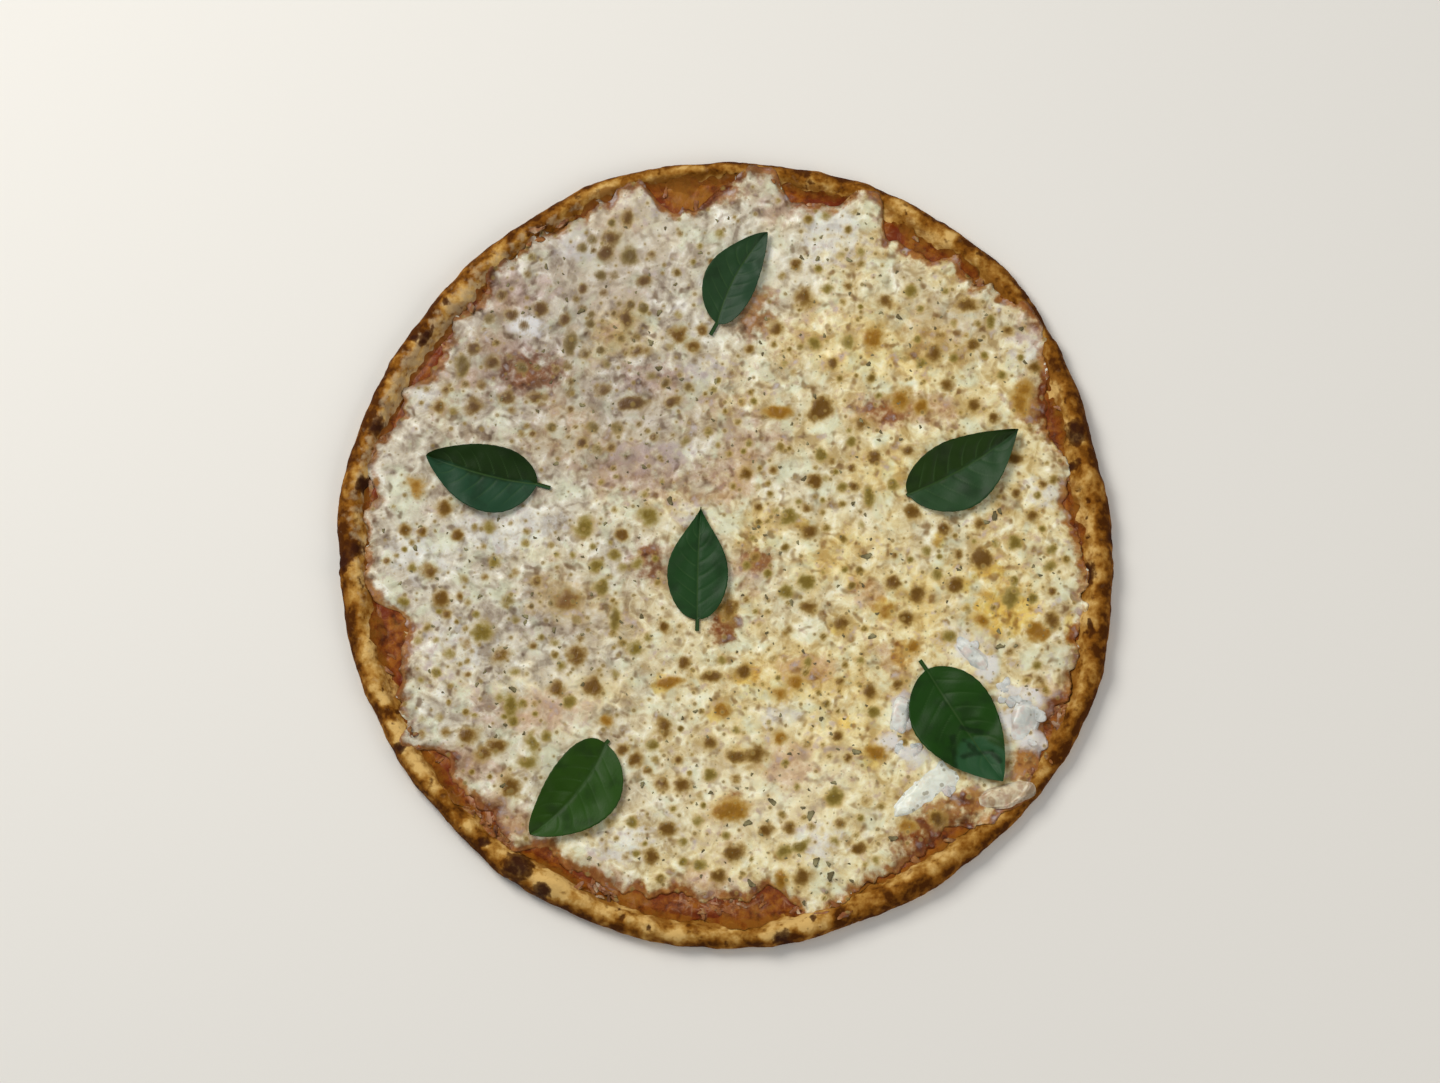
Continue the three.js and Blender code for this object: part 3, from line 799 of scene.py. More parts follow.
@dataclass(frozen=True)
class MeltedCheese(Finish):
    """Grated low-moisture mozzarella, melted and baked: curds that ran together with oil between
    them, so the eye sees soft pale blotches, darker gaps, browned blisters with a golden edge, and
    a slight sheen."""

    name: str = "melted_mozzarella_baked"
    cool: tuple = ("#988A78", "#BEB4A0", "#D4CEBC", "#ECEADE")
    warm: tuple = ("#BCA268", "#DAC894", "#EAE0B4", "#F6F1D2")
    tone_places: tuple = (0.05, 0.38, 0.66, 0.95)
    contrast: float = 2.4
    darkening: float = -0.88
    strand_light: float = 0.22
    shred_light: float = 0.2
    sage: str = "#D2D8BC"
    cool_gap: str = "#A08C7C"
    warm_gap: str = "#AC9068"
    zones: tuple = (
        Tint("gold", "#FCEFCC", 0.1, 0.9, 0.9, blend=Blend.STAIN),
        Tint("gilt", "#F4E0A0", 0.25, 0.95, 1.0, blend=Blend.STAIN),
        Tint("pale", "#EEE6CA", 0.2, 1.0, 0.36),
        # Milky white zones, partly painted glints of light on the oily cheese.
        Tint("milk_and_glint", "#DEE0DC", 0.3, 0.95, 0.6),
        Tint("dim", "#E0DADC", 0.0, 1.0, 1.0, blend=Blend.STAIN),
        Tint("rose", "#E6D4D4", 0.1, 0.7, 0.9, blend=Blend.STAIN),
        Tint("rose", "#CBA08A", 0.7, 1.2, 0.55, blend=Blend.STAIN),
        # Toasted patches, partly painted shade beside the far leaf.
        Tint("toast_and_shade", "#B07A3C", 0.3, 1.0, 0.9, blend=Blend.STAIN),
        Tint("thin", "#C08E5C", 0.12, 0.85, 1.0, blend=Blend.STAIN),
        Tint("thin", "#8A4E22", 0.85, 1.5, 0.7),
        # Whey round the fresh mozzarella, with one patch that is a painted glint.
        Tint("whey", "#DAD9D8", 0.1, 1.0, 0.8),
    )
    cool_halo: str = "#A28A4C"
    warm_halo: str = "#C2A25A"
    scorch_edge: tuple = ("#90702E", "#94823F", "#AA8438")
    scorch: tuple = ("#684606", "#7A6620", "#946610")
    scorch_places: tuple = (0.1, 0.5, 0.9)
    burnt: str = "#4A2A04"
    spot_surround_tone: str = "#5A4638"
    fleck: str = "#86703E"
    herb: str = "#7A7250"
    mottle_size: float = 7.5
    cloud_size: float = 11.0
    gap_size: float = 4.4
    grain_size: float = 1.3
    strand_length: float = 7.0
    strand_width: float = 1.6
    strand_turns: tuple = (0.3, 1.3, 2.4)
    fleck_cell: float = 6.5
    fleck_reach: float = 0.15

    def by_warmth(self, graph: Surface, cool: Any, warm: Any) -> Socket:
        """Gives the cool colour where the cheese is cool and the warm one where it is warm."""
        return graph.add(MIX, {MIX_FACTOR: graph.field("warm"), MIX_A: cool, MIX_B: warm}, MIX_COLOUR,
                         data_type="RGBA")

    def shader(self, graph: Surface) -> Socket:
        """Adds the cheese's nodes: mottle and strands, gaps, colour zones, spots and fine relief."""
        mottle = graph.add(NOISE, graph.grid(self.mottle_size) | {"Detail": 2.0, "Distortion": 0.7})
        strands = graph.strands(self.strand_length, self.strand_width, self.strand_turns)
        level = graph.add(MATH, {0: mottle, 1: self.contrast, 2: self.darkening}, operation="MULTIPLY_ADD")
        for light, share in ((strands, self.strand_light), (graph.field("shred"), self.shred_light)):
            level = graph.add(MATH, {0: light, 1: share, 2: level}, operation="MULTIPLY_ADD")
        cool, warm = (graph.add(RAMP, {"Fac": level}, stops=zip(self.tone_places, tones))
                      for tones in (self.cool, self.warm))
        colour = self.by_warmth(graph, cool, warm)
        cloud = graph.add(NOISE, graph.grid(self.cloud_size) | {"Detail": 3.0, "Distortion": 0.5})
        colour = graph.tinted(colour, self.sage, cloud, 0.48, 0.68, 0.6)
        pits = graph.add(NOISE, graph.grid(self.gap_size) | {"Detail": 1.0, "Roughness": 0.4,
                                                             "Distortion": 0.3})
        gaps = graph.add(MATH, {0: 1.0, 1: pits}, operation="SUBTRACT")
        stain = self.by_warmth(graph, self.cool_gap, self.warm_gap)
        colour = graph.tinted(colour, stain, gaps, 0.53, 0.76, 0.9, Blend.STAIN)
        colour = self.browned(graph, graph.dressed(colour, self.zones))
        roughness = graph.add(RANGE, {"Value": mottle, "From Min": 0.35, "From Max": 0.65,
                                      "To Min": 0.52, "To Max": 0.34})
        grain = graph.add(NOISE, graph.grid(self.grain_size) | {"Detail": 2.5, "Distortion": 0.8})
        fine = graph.add(BUMP, {"Height": grain, "Strength": 0.4, "Distance": 0.14 * MM})
        return graph.add(PRINCIPLED, {
            "Base Color": colour, "Roughness": roughness, "IOR": 1.46, "Specular IOR Level": 0.22,
            "Normal": graph.add(BUMP, {"Height": strands, "Strength": 0.5, "Distance": 0.2 * MM,
                                       "Normal": fine}),
            "Subsurface Weight": 0.08, "Subsurface Radius": (1.0, 0.75, 0.45), "Subsurface Scale": 0.0015,
        })

    def browned(self, graph: Surface, colour: Socket) -> Socket:
        """Lays browned blisters, small flecks and ground herbs over the cheese's own colour.

        Args:
            graph: The material's nodes.
            colour: The cheese's own colour.

        Returns:
            The colour with the spots.
        """
        spot = graph.frayed("spot", 2.4, 0.2)
        edge, core = (graph.add(RAMP, {"Fac": graph.field("spot_tone")}, stops=zip(self.scorch_places, hues))
                      for hues in (self.scorch_edge, self.scorch))
        halo = self.by_warmth(graph, self.cool_halo, self.warm_halo)
        colour = graph.tinted(colour, halo, spot, -0.9, 0.0, 0.5)
        colour = graph.tinted(colour, edge, spot, -0.4, 0.3, 0.85)
        colour = graph.tinted(colour, core, spot, -0.1, 0.65, 0.95)
        colour = graph.tinted(colour, self.burnt, graph.frayed(spot, 1.5, 0.4), 0.3, 1.0, 0.22)
        # A mauve-brown darkening lies round the spots where the cheese is dim and cool.
        near = graph.add(RANGE, {"Value": spot, "From Min": -0.8, "From Max": 0.3})
        cool = graph.add(MATH, {0: 1.0, 1: graph.field("warm")}, operation="SUBTRACT")
        spot_surround = graph.add(MATH, {0: graph.field("dim"), 1: near}, operation="MULTIPLY")
        spot_surround = graph.add(MATH, {0: spot_surround, 1: cool}, operation="MULTIPLY")
        colour = graph.tinted(colour, self.spot_surround_tone, spot_surround, 0.05, 0.85, 0.55)
        flecks = graph.flecks(self.fleck_cell, self.fleck_reach)
        colour = graph.tinted(colour, halo, flecks, -0.12, 0.0, 0.35)
        colour = graph.tinted(colour, self.fleck, flecks, -0.02, 0.06, 0.8)
        ground = graph.flecks(self.fleck_cell * 0.55, self.fleck_reach * 1.1)
        return graph.tinted(colour, self.herb, ground, -0.03, 0.1, 0.6)


@dataclass(frozen=True)
class BakedDough(Finish):
    """Wheat dough baked in a hot deck oven: dry and matt, pale gold where it puffed and browned in the
    folds, with painted light on the lumps and painted shade in the hollows and on the rim's outer
    wall, charred on its blisters, and with flour left on the side and the underside."""

    name: str = "baked_wheat_dough"
    bakes: tuple = ("#D2AC68", "#AC7E38", "#825010", "#4A2400")
    bake_places: tuple = (0.08, 0.36, 0.64, 0.95)
    tints: tuple = (
        Tint("stain", "#8C5A1C", 0.2, 0.9, 0.85, 4.0, 0.45),
        Tint("flour", "#B49E7A", 0.35, 1.05, 0.65, 3.4, 0.45),
        Tint("char", "#4A2400", 0.12, 0.55, 0.85, 3.0),
        Tint("char", "#321406", 0.45, 1.1, 0.9, 3.0),
    )
    mottle_size: float = 6.0
    speckle_size: float = 1.8
    wrinkle_size: float = 2.6
    pore_size: float = 1.5

    def shader(self, graph: Surface) -> Socket:
        """Adds the crust's nodes: browning with painted light and shade, stains, flour and char, and the
        relief of wrinkles and pores.
        """
        # The browning value read here holds painted light on the lumps and painted shade in the hollows and
        # on the rim's outer wall.
        bake_light_and_shade = graph.frayed("bake_light_and_shade", self.mottle_size, 0.3)
        bake_light_and_shade = graph.frayed(bake_light_and_shade, self.speckle_size, 0.1)
        colour = graph.add(RAMP, {"Fac": bake_light_and_shade}, stops=zip(self.bake_places, self.bakes))
        colour = graph.dressed(colour, self.tints)
        roughness = graph.add(RANGE, {"Value": bake_light_and_shade, "To Min": 0.66, "To Max": 0.85})
        wrinkles = graph.add(NOISE, graph.grid(self.wrinkle_size) | {"Detail": 5.0, "Roughness": 0.65})
        pores = graph.add(VORONOI, graph.grid(self.pore_size), "Distance")
        rough = graph.add(BUMP, {"Height": wrinkles, "Strength": 0.75, "Distance": 0.55 * MM})
        rough = graph.add(BUMP, {"Height": pores, "Strength": 0.3, "Distance": 0.3 * MM, "Normal": rough})
        return graph.add(PRINCIPLED, {
            "Base Color": colour, "Roughness": roughness, "IOR": 1.45, "Specular IOR Level": 0.1,
            "Normal": rough,
        })


@dataclass(frozen=True)
class TomatoSauce(Finish):
    """Crushed tomato reduced in the oven: wet pulp, dark red where thick and orange-brown where oil
    and cheese ran into it."""

    name: str = "tomato_sauce_reduced"
    reds: tuple = ("#4A1E02", "#763808", "#965814")
    red_places: tuple = (0.32, 0.48, 0.66)
    tints: tuple = (
        Tint("oily", "#98641C", 0.2, 1.1, 0.7, 4.0, 0.4),
        Tint("deep", "#6C2404", 0.2, 1.0, 0.75, 3.0, 0.25),
        Tint("dried", "#885416", 0.25, 1.1, 0.85, 4.5, 0.45),
    )
    rosy: str = "#C89C7C"
    pulp_size: float = 4.2
    strand_length: float = 7.0
    strand_width: float = 2.6
    strand_turns: tuple = (0.5, 1.6, 2.7)

    def shader(self, graph: Surface) -> Socket:
        """Adds the sauce's nodes: pulp, oil and dried edges, and strands of cheese melted into it."""
        pulp = graph.add(NOISE, graph.grid(self.pulp_size) | {"Detail": 4.0, "Roughness": 0.6,
                                                              "Distortion": 0.4})
        colour = graph.add(RAMP, {"Fac": pulp}, stops=zip(self.red_places, self.reds))
        colour = graph.dressed(colour, self.tints)
        strands = graph.strands(self.strand_length, self.strand_width, self.strand_turns)
        melted = graph.add(MATH, {0: strands, 1: graph.field("melted")}, operation="MULTIPLY")
        colour = graph.tinted(colour, self.rosy, melted, 0.15, 0.85, 0.6)
        wet = graph.add(BUMP, {"Height": pulp, "Strength": 0.8, "Distance": 0.6 * MM})
        return graph.add(PRINCIPLED, {
            "Base Color": colour, "Roughness": 0.42, "IOR": 1.4, "Specular IOR Level": 0.25, "Normal": wet,
            "Subsurface Weight": 0.08, "Subsurface Radius": (1.0, 0.35, 0.15), "Subsurface Scale": 0.0015,
        })


@dataclass(frozen=True)
class FreshMozzarella(Finish):
    """Fresh stretched curd with whey still in it: white, moist and a little see-through."""

    name: str = "fresh_mozzarella_moist"
    white: str = "#EEF2E6"
    whey: str = "#DEE2D4"
    blush: str = "#D6D0BE"
    speck: str = "#8A8268"
    speck_reach: float = 0.2
    strand_size: float = 5.0
    cloud_size: float = 3.4
    pit_size: float = 4.2

    def shader(self, graph: Surface) -> Socket:
        """Adds the fresh cheese's nodes: soft strands, blushes and specks."""
        strands = graph.add(NOISE, graph.grid(self.strand_size) | {"Detail": 2.0, "Distortion": 0.8})
        colour = graph.add(RAMP, {"Fac": strands}, stops=((0.38, self.whey), (0.6, self.white)))
        cloud = graph.add(NOISE, graph.grid(self.cloud_size) | {"Detail": 2.0})
        colour = graph.tinted(colour, self.blush, cloud, 0.46, 0.7, 0.7)
        pits = graph.add(VORONOI, graph.grid(self.pit_size), "Distance")
        inside = graph.add(MATH, {0: self.speck_reach, 1: pits}, operation="SUBTRACT")
        colour = graph.tinted(colour, self.speck, inside, 0.04, 0.12, 0.65)
        moist = graph.add(BUMP, {"Height": strands, "Strength": 0.3, "Distance": 0.25 * MM})
        return graph.add(PRINCIPLED, {
            "Base Color": colour, "Roughness": 0.34, "IOR": 1.45, "Normal": moist,
            "Subsurface Weight": 0.4, "Subsurface Radius": (1.0, 0.9, 0.75), "Subsurface Scale": 0.003,
        })


@dataclass(frozen=True)
class BasilLeaf(Finish):
    """A fresh basil leaf: a waxy dark green blade with a blue-green sheen of the sky painted into its
    colour, painted shade in its creases, and paler veins in shallow grooves."""

    left: str = "#27401C"
    right: str = "#2A4428"
    sheen_from: float = 2.0
    vein: str = "#3E5A30"
    rib: str = "#2C461C"
    under: str = "#5E7A48"
    sheen: str = "#284E30"
    fold: str = "#0C2206"
    shade: str = "#0E1A08"
    shade_share: float = 0.4
    cloud_size: float = 9.0
    cell_size: float = 0.9

    def shader(self, graph: Surface) -> Socket:
        """Adds the leaf's nodes: a colour for each half, shade patches, painted sheen, veins, painted shade
        in the creases and skin cells.
        """
        cloud = graph.add(NOISE, graph.grid(self.cloud_size) | {"Detail": 3.0})
        # The halves' colours hold a painted blue-green reflection of the sky, strongest on one half.
        colour = graph.tinted(self.right, self.left, graph.frayed("side", 7.0, 0.12), -0.12, 0.12)
        darker = graph.add(MIX, {MIX_FACTOR: self.shade_share, MIX_A: colour, MIX_B: self.shade}, MIX_COLOUR,
                           data_type="RGBA")
        colour = graph.tinted(darker, colour, cloud, 0.28, 0.55)
        reach = graph.frayed("reach", 6.0, 0.03)
        # Painted sheen: a blue-green reflection painted in from the share `sheen_from` of the length on.
        colour = graph.tinted(colour, self.sheen, reach, self.sheen_from, self.sheen_from + 0.08, 0.8)
        colour = graph.tinted(colour, self.vein, graph.field("vein"), 0.35, 1.0, 0.3)
        colour = graph.tinted(colour, self.rib, graph.field("rib"), 0.3, 0.9, 0.8)
        # Painted shade in the creases where the blade crumpled.
        colour = graph.tinted(colour, self.fold, graph.frayed("crease", 4.0, 0.3), 0.25, 1.05, 0.75)
        colour = graph.tinted(colour, self.under, graph.field("under"), 0.4, 0.6)
        cells = graph.add(VORONOI, graph.grid(self.cell_size), "Distance")
        skin = graph.add(BUMP, {"Height": cells, "Strength": 0.25, "Distance": 0.12 * MM})
        return graph.add(PRINCIPLED, {
            "Base Color": colour, "Roughness": 0.46, "IOR": 1.45, "Specular IOR Level": 0.16, "Normal": skin,
        })


@dataclass(frozen=True)
class DriedHerb(Finish):
    """Oregano and basil dried and rubbed: brittle flakes, dull green to near black."""

    name: str = "oregano_dried_rubbed"
    dark: str = "#665C40"
    green: str = "#8E8662"
    tone_size: float = 6.0
    vein_size: float = 0.7

    def shader(self, graph: Surface) -> Socket:
        """Adds the flakes' nodes: two tones and brittle veins."""
        tone = graph.add(NOISE, graph.grid(self.tone_size) | {"Detail": 2.0})
        colour = graph.add(RAMP, {"Fac": tone}, stops=((0.4, self.dark), (0.62, self.green)))
        veins = graph.add(NOISE, graph.grid(self.vein_size) | {"Detail": 2.0})
        crisp = graph.add(BUMP, {"Height": veins, "Strength": 0.6, "Distance": 0.15 * MM})
        return graph.add(PRINCIPLED, {
            "Base Color": colour, "Roughness": 0.75, "IOR": 1.45, "Specular IOR Level": 0.1, "Normal": crisp,
        })


@dataclass(frozen=True)
class PaintedBoard(Finish):
    """Matt white-painted board: the plain floor that the pizza is shown on."""

    name: str = "floor_matt_paint"
    paint: str = "#E3E1DC"
    stipple_size: float = 3.0

    def shader(self, graph: Surface) -> Socket:
        """Adds the floor's nodes: one colour and the roller's stipple."""
        stipple = graph.add(NOISE, graph.grid(self.stipple_size))
        rolled = graph.add(BUMP, {"Height": stipple, "Strength": 0.08, "Distance": 0.1 * MM})
        return graph.add(PRINCIPLED, {"Base Color": self.paint, "Roughness": 0.85, "Normal": rolled})


# --- Pieces ---


@dataclass(frozen=True)
class Crust:
    """The baked dough with its lumpy rim, puffs, ringed bubbles and char.

    `char`, `brown`, `gold` and `bubbles` hold the values of marks. Each of the `stretches` is an
    angle, a spread, and how much browner the rim's outer band is there: partly real browning and
    partly painted shade on the rim's outer wall.
    """

    form: PizzaForm
    spokes: int = 1200
    base_insets: tuple = (60, 20, 10)
    under_turns: tuple = (-90, -68, -46, -23, 0)
    side_steps: int = 9
    slope_steps: int = 15
    floor_widths: tuple = (6, 20)
    relief_height: float = 0.6
    ring_height: float = 0.75
    dip_depth: float = 0.35
    usual_bake: float = 0.47
    dusty_angle: float = 150
    dusty_spread: float = 44
    band_width: float = 8.5
    foot_height: float = 4.5
    lumps: Bumps = Bumps(10, 11, 2)
    fine_lumps: Bumps = Bumps(4, 21, 3)
    wide_bake: Bumps = Bumps(16, 5, 2)
    fine_bake: Bumps = Bumps(5, 6, 2)
    bake_limit: Bumps = Bumps(7, 8, 3)
    foot_patches: Bumps = Bumps(9, 7, 2)
    leopard: Bumps = Bumps(22, 31, 3)
    specks: Bumps = Bumps(5, 41, 2)
    stain_patches: Bumps = Bumps(9, 51, 2)
    flour_patches: Bumps = Bumps(14, 61)
    char: tuple = (
        (-149.5, 54.3, 7), (-154, 29, 7), (-159.2, 1.3, 9, 7), (-138.8, 57.7, 5), (-128.5, 93.6, 7, 4, 60),
        (-88.4, -137.2, 12), (149.9, 52, 8, 10), (164.9, 6.4, 5), (-138.6, -85.4, 5), (24.4, -168, 8, 6),
        (-103.5, -126.4, 6, 4), (-77.8, -147.5, 7, 6), (148.2, 37.7, 4), (-133, 93.6, 4),
        (-163.7, -3.9, 8, 10), (153.8, -9.6, 7, 10),
    )
    brown: tuple = (
        (-112.9, 105.6, 8, 6), (-148.6, 6.4, 4, 7), (-159.2, -26.7, 4, 9), (-146.4, -39.2, 3, 10, 20),
        (-119.6, -105.3, 8, 4, 20), (-124.1, -112.1, 7, 13, 40), (120.3, 112.4, 9, 6, -40),
        (142.6, 25.8, 7, 10), (160.4, 12.1, 7, 9), (102.5, 132.9, 9, 7, -40), (148.2, -46, 9, 10),
        (135.9, -74.5, 7), (104.7, -111, 15, 7, 20), (51.2, -158.9, 13, 7, 20), (-91.7, 136.9, 6, 3, 30),
        (-40.5, 158, 7, 3, 20), (25.5, 158, 8, 4, -20), (-141.9, -44.9, 11, 10), (-143, -70.5, 13, 7, 10),
        (84.6, -142.9, 18, 6, 35), (115.8, -128.1, 22, 6, 45),
    )
    gold: tuple = (
        (-108.5, 112.4, 10, 9), (-96.2, 127.2, 11, 9, 30), (-8.1, 169.4, 29, 3, 5), (40, 159.1, 15, 4, -10),
        (75.7, 152.3, 16, 4, -35), (110.3, 124.9, 13, 4, -50), (141.5, 69.1, 9, 16), (141.5, 54.3, 7),
        (152.6, 15.5, 8), (-157.5, -14.1, 7, 11), (-153.1, -34.6, 7, 13, 20), (-147.5, -63.1, 7, 13, 30),
        (-127.4, -97.3, 13, 7, -45), (-108.5, -120.1, 10, 6, -30), (-94, -128.7, 12, 7, -20),
        (-71.7, -141.2, 25, 15, -10), (-57.2, -153.2, 13, 8, -10), (-20.4, -166.9, 29, 6, -5),
        (8.8, -166.9, 29, 6, 5), (111.4, -119, 13, 7, 40), (94.7, -133.8, 13, 7, 30), (152.6, -26.7, 9, 13),
        (148.2, -67.7, 9, 10), (-128.5, 80.5, 7, 13, 40), (-140.8, 65.7, 6, 13, 60),
    )
    # Partly real browning and partly painted shade on the rim's outer wall.
    stretches: tuple = (
        (165, 18, 0.38), (188, 9, 0.12), (347, 14, 0.42), (12, 16, 0.12), (262, 13, -0.16), (236, 10, -0.08),
        (210, 8, -0.1), (122, 12, -0.05), (60, 20, 0.1),
    )
    bubbles: tuple = (
        (151, 26.9, 7), (154.9, 21.8, 6), (154.9, 6.4, 4), (-32.6, -163.4, 6), (-43.8, -158.9, 7),
        (137, 69.1, 6), (-143, 111.3, 4), (147.1, -33.5, 7), (-162, -8.4, 6), (-88.4, -137.2, 13),
    )

    def rings(self) -> list[Array]:
        """Gives the rings of the smooth dough, from the underside outwards and back over the top."""
        form = self.form
        angle = np.arange(self.spokes) * FULL_TURN / self.spokes
        outline, width = form.outline(angle), form.rim_width_at(angle)
        rings = [(*polar(angle, outline - inset), np.zeros(self.spokes)) for inset in self.base_insets]
        for turn in self.under_turns:
            reach = form.under_curve * (1 - math.cos(math.radians(turn)))
            height = form.belly_height * (1 + math.sin(math.radians(turn)))
            rings.append((*polar(angle, outline - reach), np.full(self.spokes, height)))
        quarter = math.pi / 2 / self.side_steps
        shares = [1 - math.cos(quarter * step) for step in range(1, self.side_steps + 1)]
        insets = [form.crest_share * share * width for share in shares]
        steps = np.arange(1, self.slope_steps + 1) / self.slope_steps
        insets += [lerp(form.crest_share, 1, step) * width for step in steps]
        insets += [width + more for more in self.floor_widths]
        for inset in insets:
            x, y = polar(angle, outline - inset)
            rings.append((x, y, form.dough_top(x, y)))
        return [np.stack(ring, axis=1) for ring in rings]

    def build(self) -> Piece:
        """Builds and dresses the crust."""
        points, faces = shell(self.rings(), 0, self.form.base_thickness)
        piece = make_piece("crust_baked", points, faces, BakedDough().material())
        normals = np.zeros(points.size)
        piece.data.vertices.foreach_get("normal", normals)
        normals = normals.reshape(-1, 3)
        points = points + normals * self.relief(points, normals)[:, None]
        piece.data.vertices.foreach_set("co", (points * MM).ravel())
        piece.data.update()
        set_fields(piece.data, self.fields(points, normals))
        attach(piece, BODY)
        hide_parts("crust")
        return piece

    def relief(self, points: Array, normals: Array) -> Array:
        """Gives the relief of lumps, rings round burst bubbles, and dips under the char.

        Args:
            points: Places on the smooth dough.
            normals: The directions that it faces there.

        Returns:
            How far each point stands out along its normal.
        """
        x, y, z = points.T
        bare = smooth(z, 0.2, 3.0) * smooth(self.form.rim_width + 4 - self.form.inset(x, y), 0, 4)
        lumps = self.lumps.at(points) + 0.5 * np.abs(self.fine_lumps.at(points))
        rings = np.zeros(len(points))
        for mark in self.bubbles:
            near = Mark(*mark).nearness(x, y)
            rings += self.ring_height * bell(near - 0.35, 0.28) - self.dip_depth * smooth(near, 0.45, 0.9)
        dips = self.dip_depth * marked(x, y, self.char, 0.8)
        upwards = normals[:, 2] > 0.2
        return bare * (self.relief_height * lumps + rings * upwards - dips)

    def fields(self, points: Array, normals: Array) -> dict[str, Array]:
        """Gives the values that the finish reads: browning with painted light and shade, char, sauce stain
        and flour.

        Args:
            points: Places on the dough.
            normals: The directions that it faces there.

        Returns:
            The values by name, one for each point.
        """
        x, y, z = points.T
        form, inset, angle = self.form, self.form.inset(x, y), angle_of(x, y)
        crest = form.crest_share * form.rim_width_at(angle)
        outer = smooth(crest * 0.75 - inset, 0, crest * 0.75)
        under = smooth(-normals[:, 2], 0.4, 0.9)
        dusty = bell(angle_between(angle, self.dusty_angle), self.dusty_spread)
        # The outer side and the hollows are browner and the lump tops paler: partly real browning, partly
        # painted shade on the rim's outer wall and in the hollows and painted light on the lumps. The
        # inner foot and the lower side brown least.
        bake_light_and_shade = self.usual_bake + (0.42 + 0.3 * dusty) * outer - 0.24 * self.lumps.at(points)
        bake_light_and_shade += 0.16 * self.wide_bake.at(points)
        bake_light_and_shade += 0.2 * self.fine_bake.at(points) - 0.1 * smooth(inset, crest, crest + 5)
        bake_light_and_shade += 0.36 * marked(x, y, self.brown, 0.7) - 0.24 * marked(x, y, self.gold, 0.8)
        # Browner stretches of the outer band: partly real browning, partly painted shade on the outer wall.
        band = smooth(self.band_width - inset, 0, 5)
        bake_light_and_shade += band * sum(more * bell(angle_between(angle, at), wide) for at, wide, more in self.stretches)
        bake_light_and_shade = np.minimum(bake_light_and_shade, 0.88 + 0.28 * self.bake_limit.at(points))
        bake_light_and_shade -= 0.3 * smooth(self.foot_height - z, 0, 3.5) * (1 + self.foot_patches.at(points))
        # The underside has large dark spots where it lay on the stone.
        leopard = smooth(self.leopard.at(points), 0.1, 0.8)
        bake_light_and_shade = lerp(bake_light_and_shade, 0.35 + 0.4 * leopard, under)
        char = marked(x, y, self.char, 0.65)
        ringed = np.zeros(len(points))
        for mark in self.bubbles:
            ringed = np.maximum(ringed, smooth(Mark(*mark).nearness(x, y), 0.45, 0.85))
        specks = smooth(self.specks.at(points), 0.75, 1.1) * smooth(z, 5, 8)
        char = np.maximum.reduce([char, 0.62 * ringed, 0.6 * specks, 0.75 * under * smooth(leopard, 0.6, 1)])
        stain = smooth(inset - form.sauce_margin_at(angle), -5, 1.5) * (1 - under)
        stain *= 0.65 + 0.6 * self.stain_patches.at(points)
        flour = smooth(self.foot_height - z, 0, 3) * (0.45 + 0.5 * self.flour_patches.at(points))
        flour += 0.25 * under
        flour += (0.15 + 0.65 * smooth(inset, 2, 6)) * dusty * (1 - under)
        return {"bake_light_and_shade": bake_light_and_shade, "char": char, "stain": stain, "flour": flour}


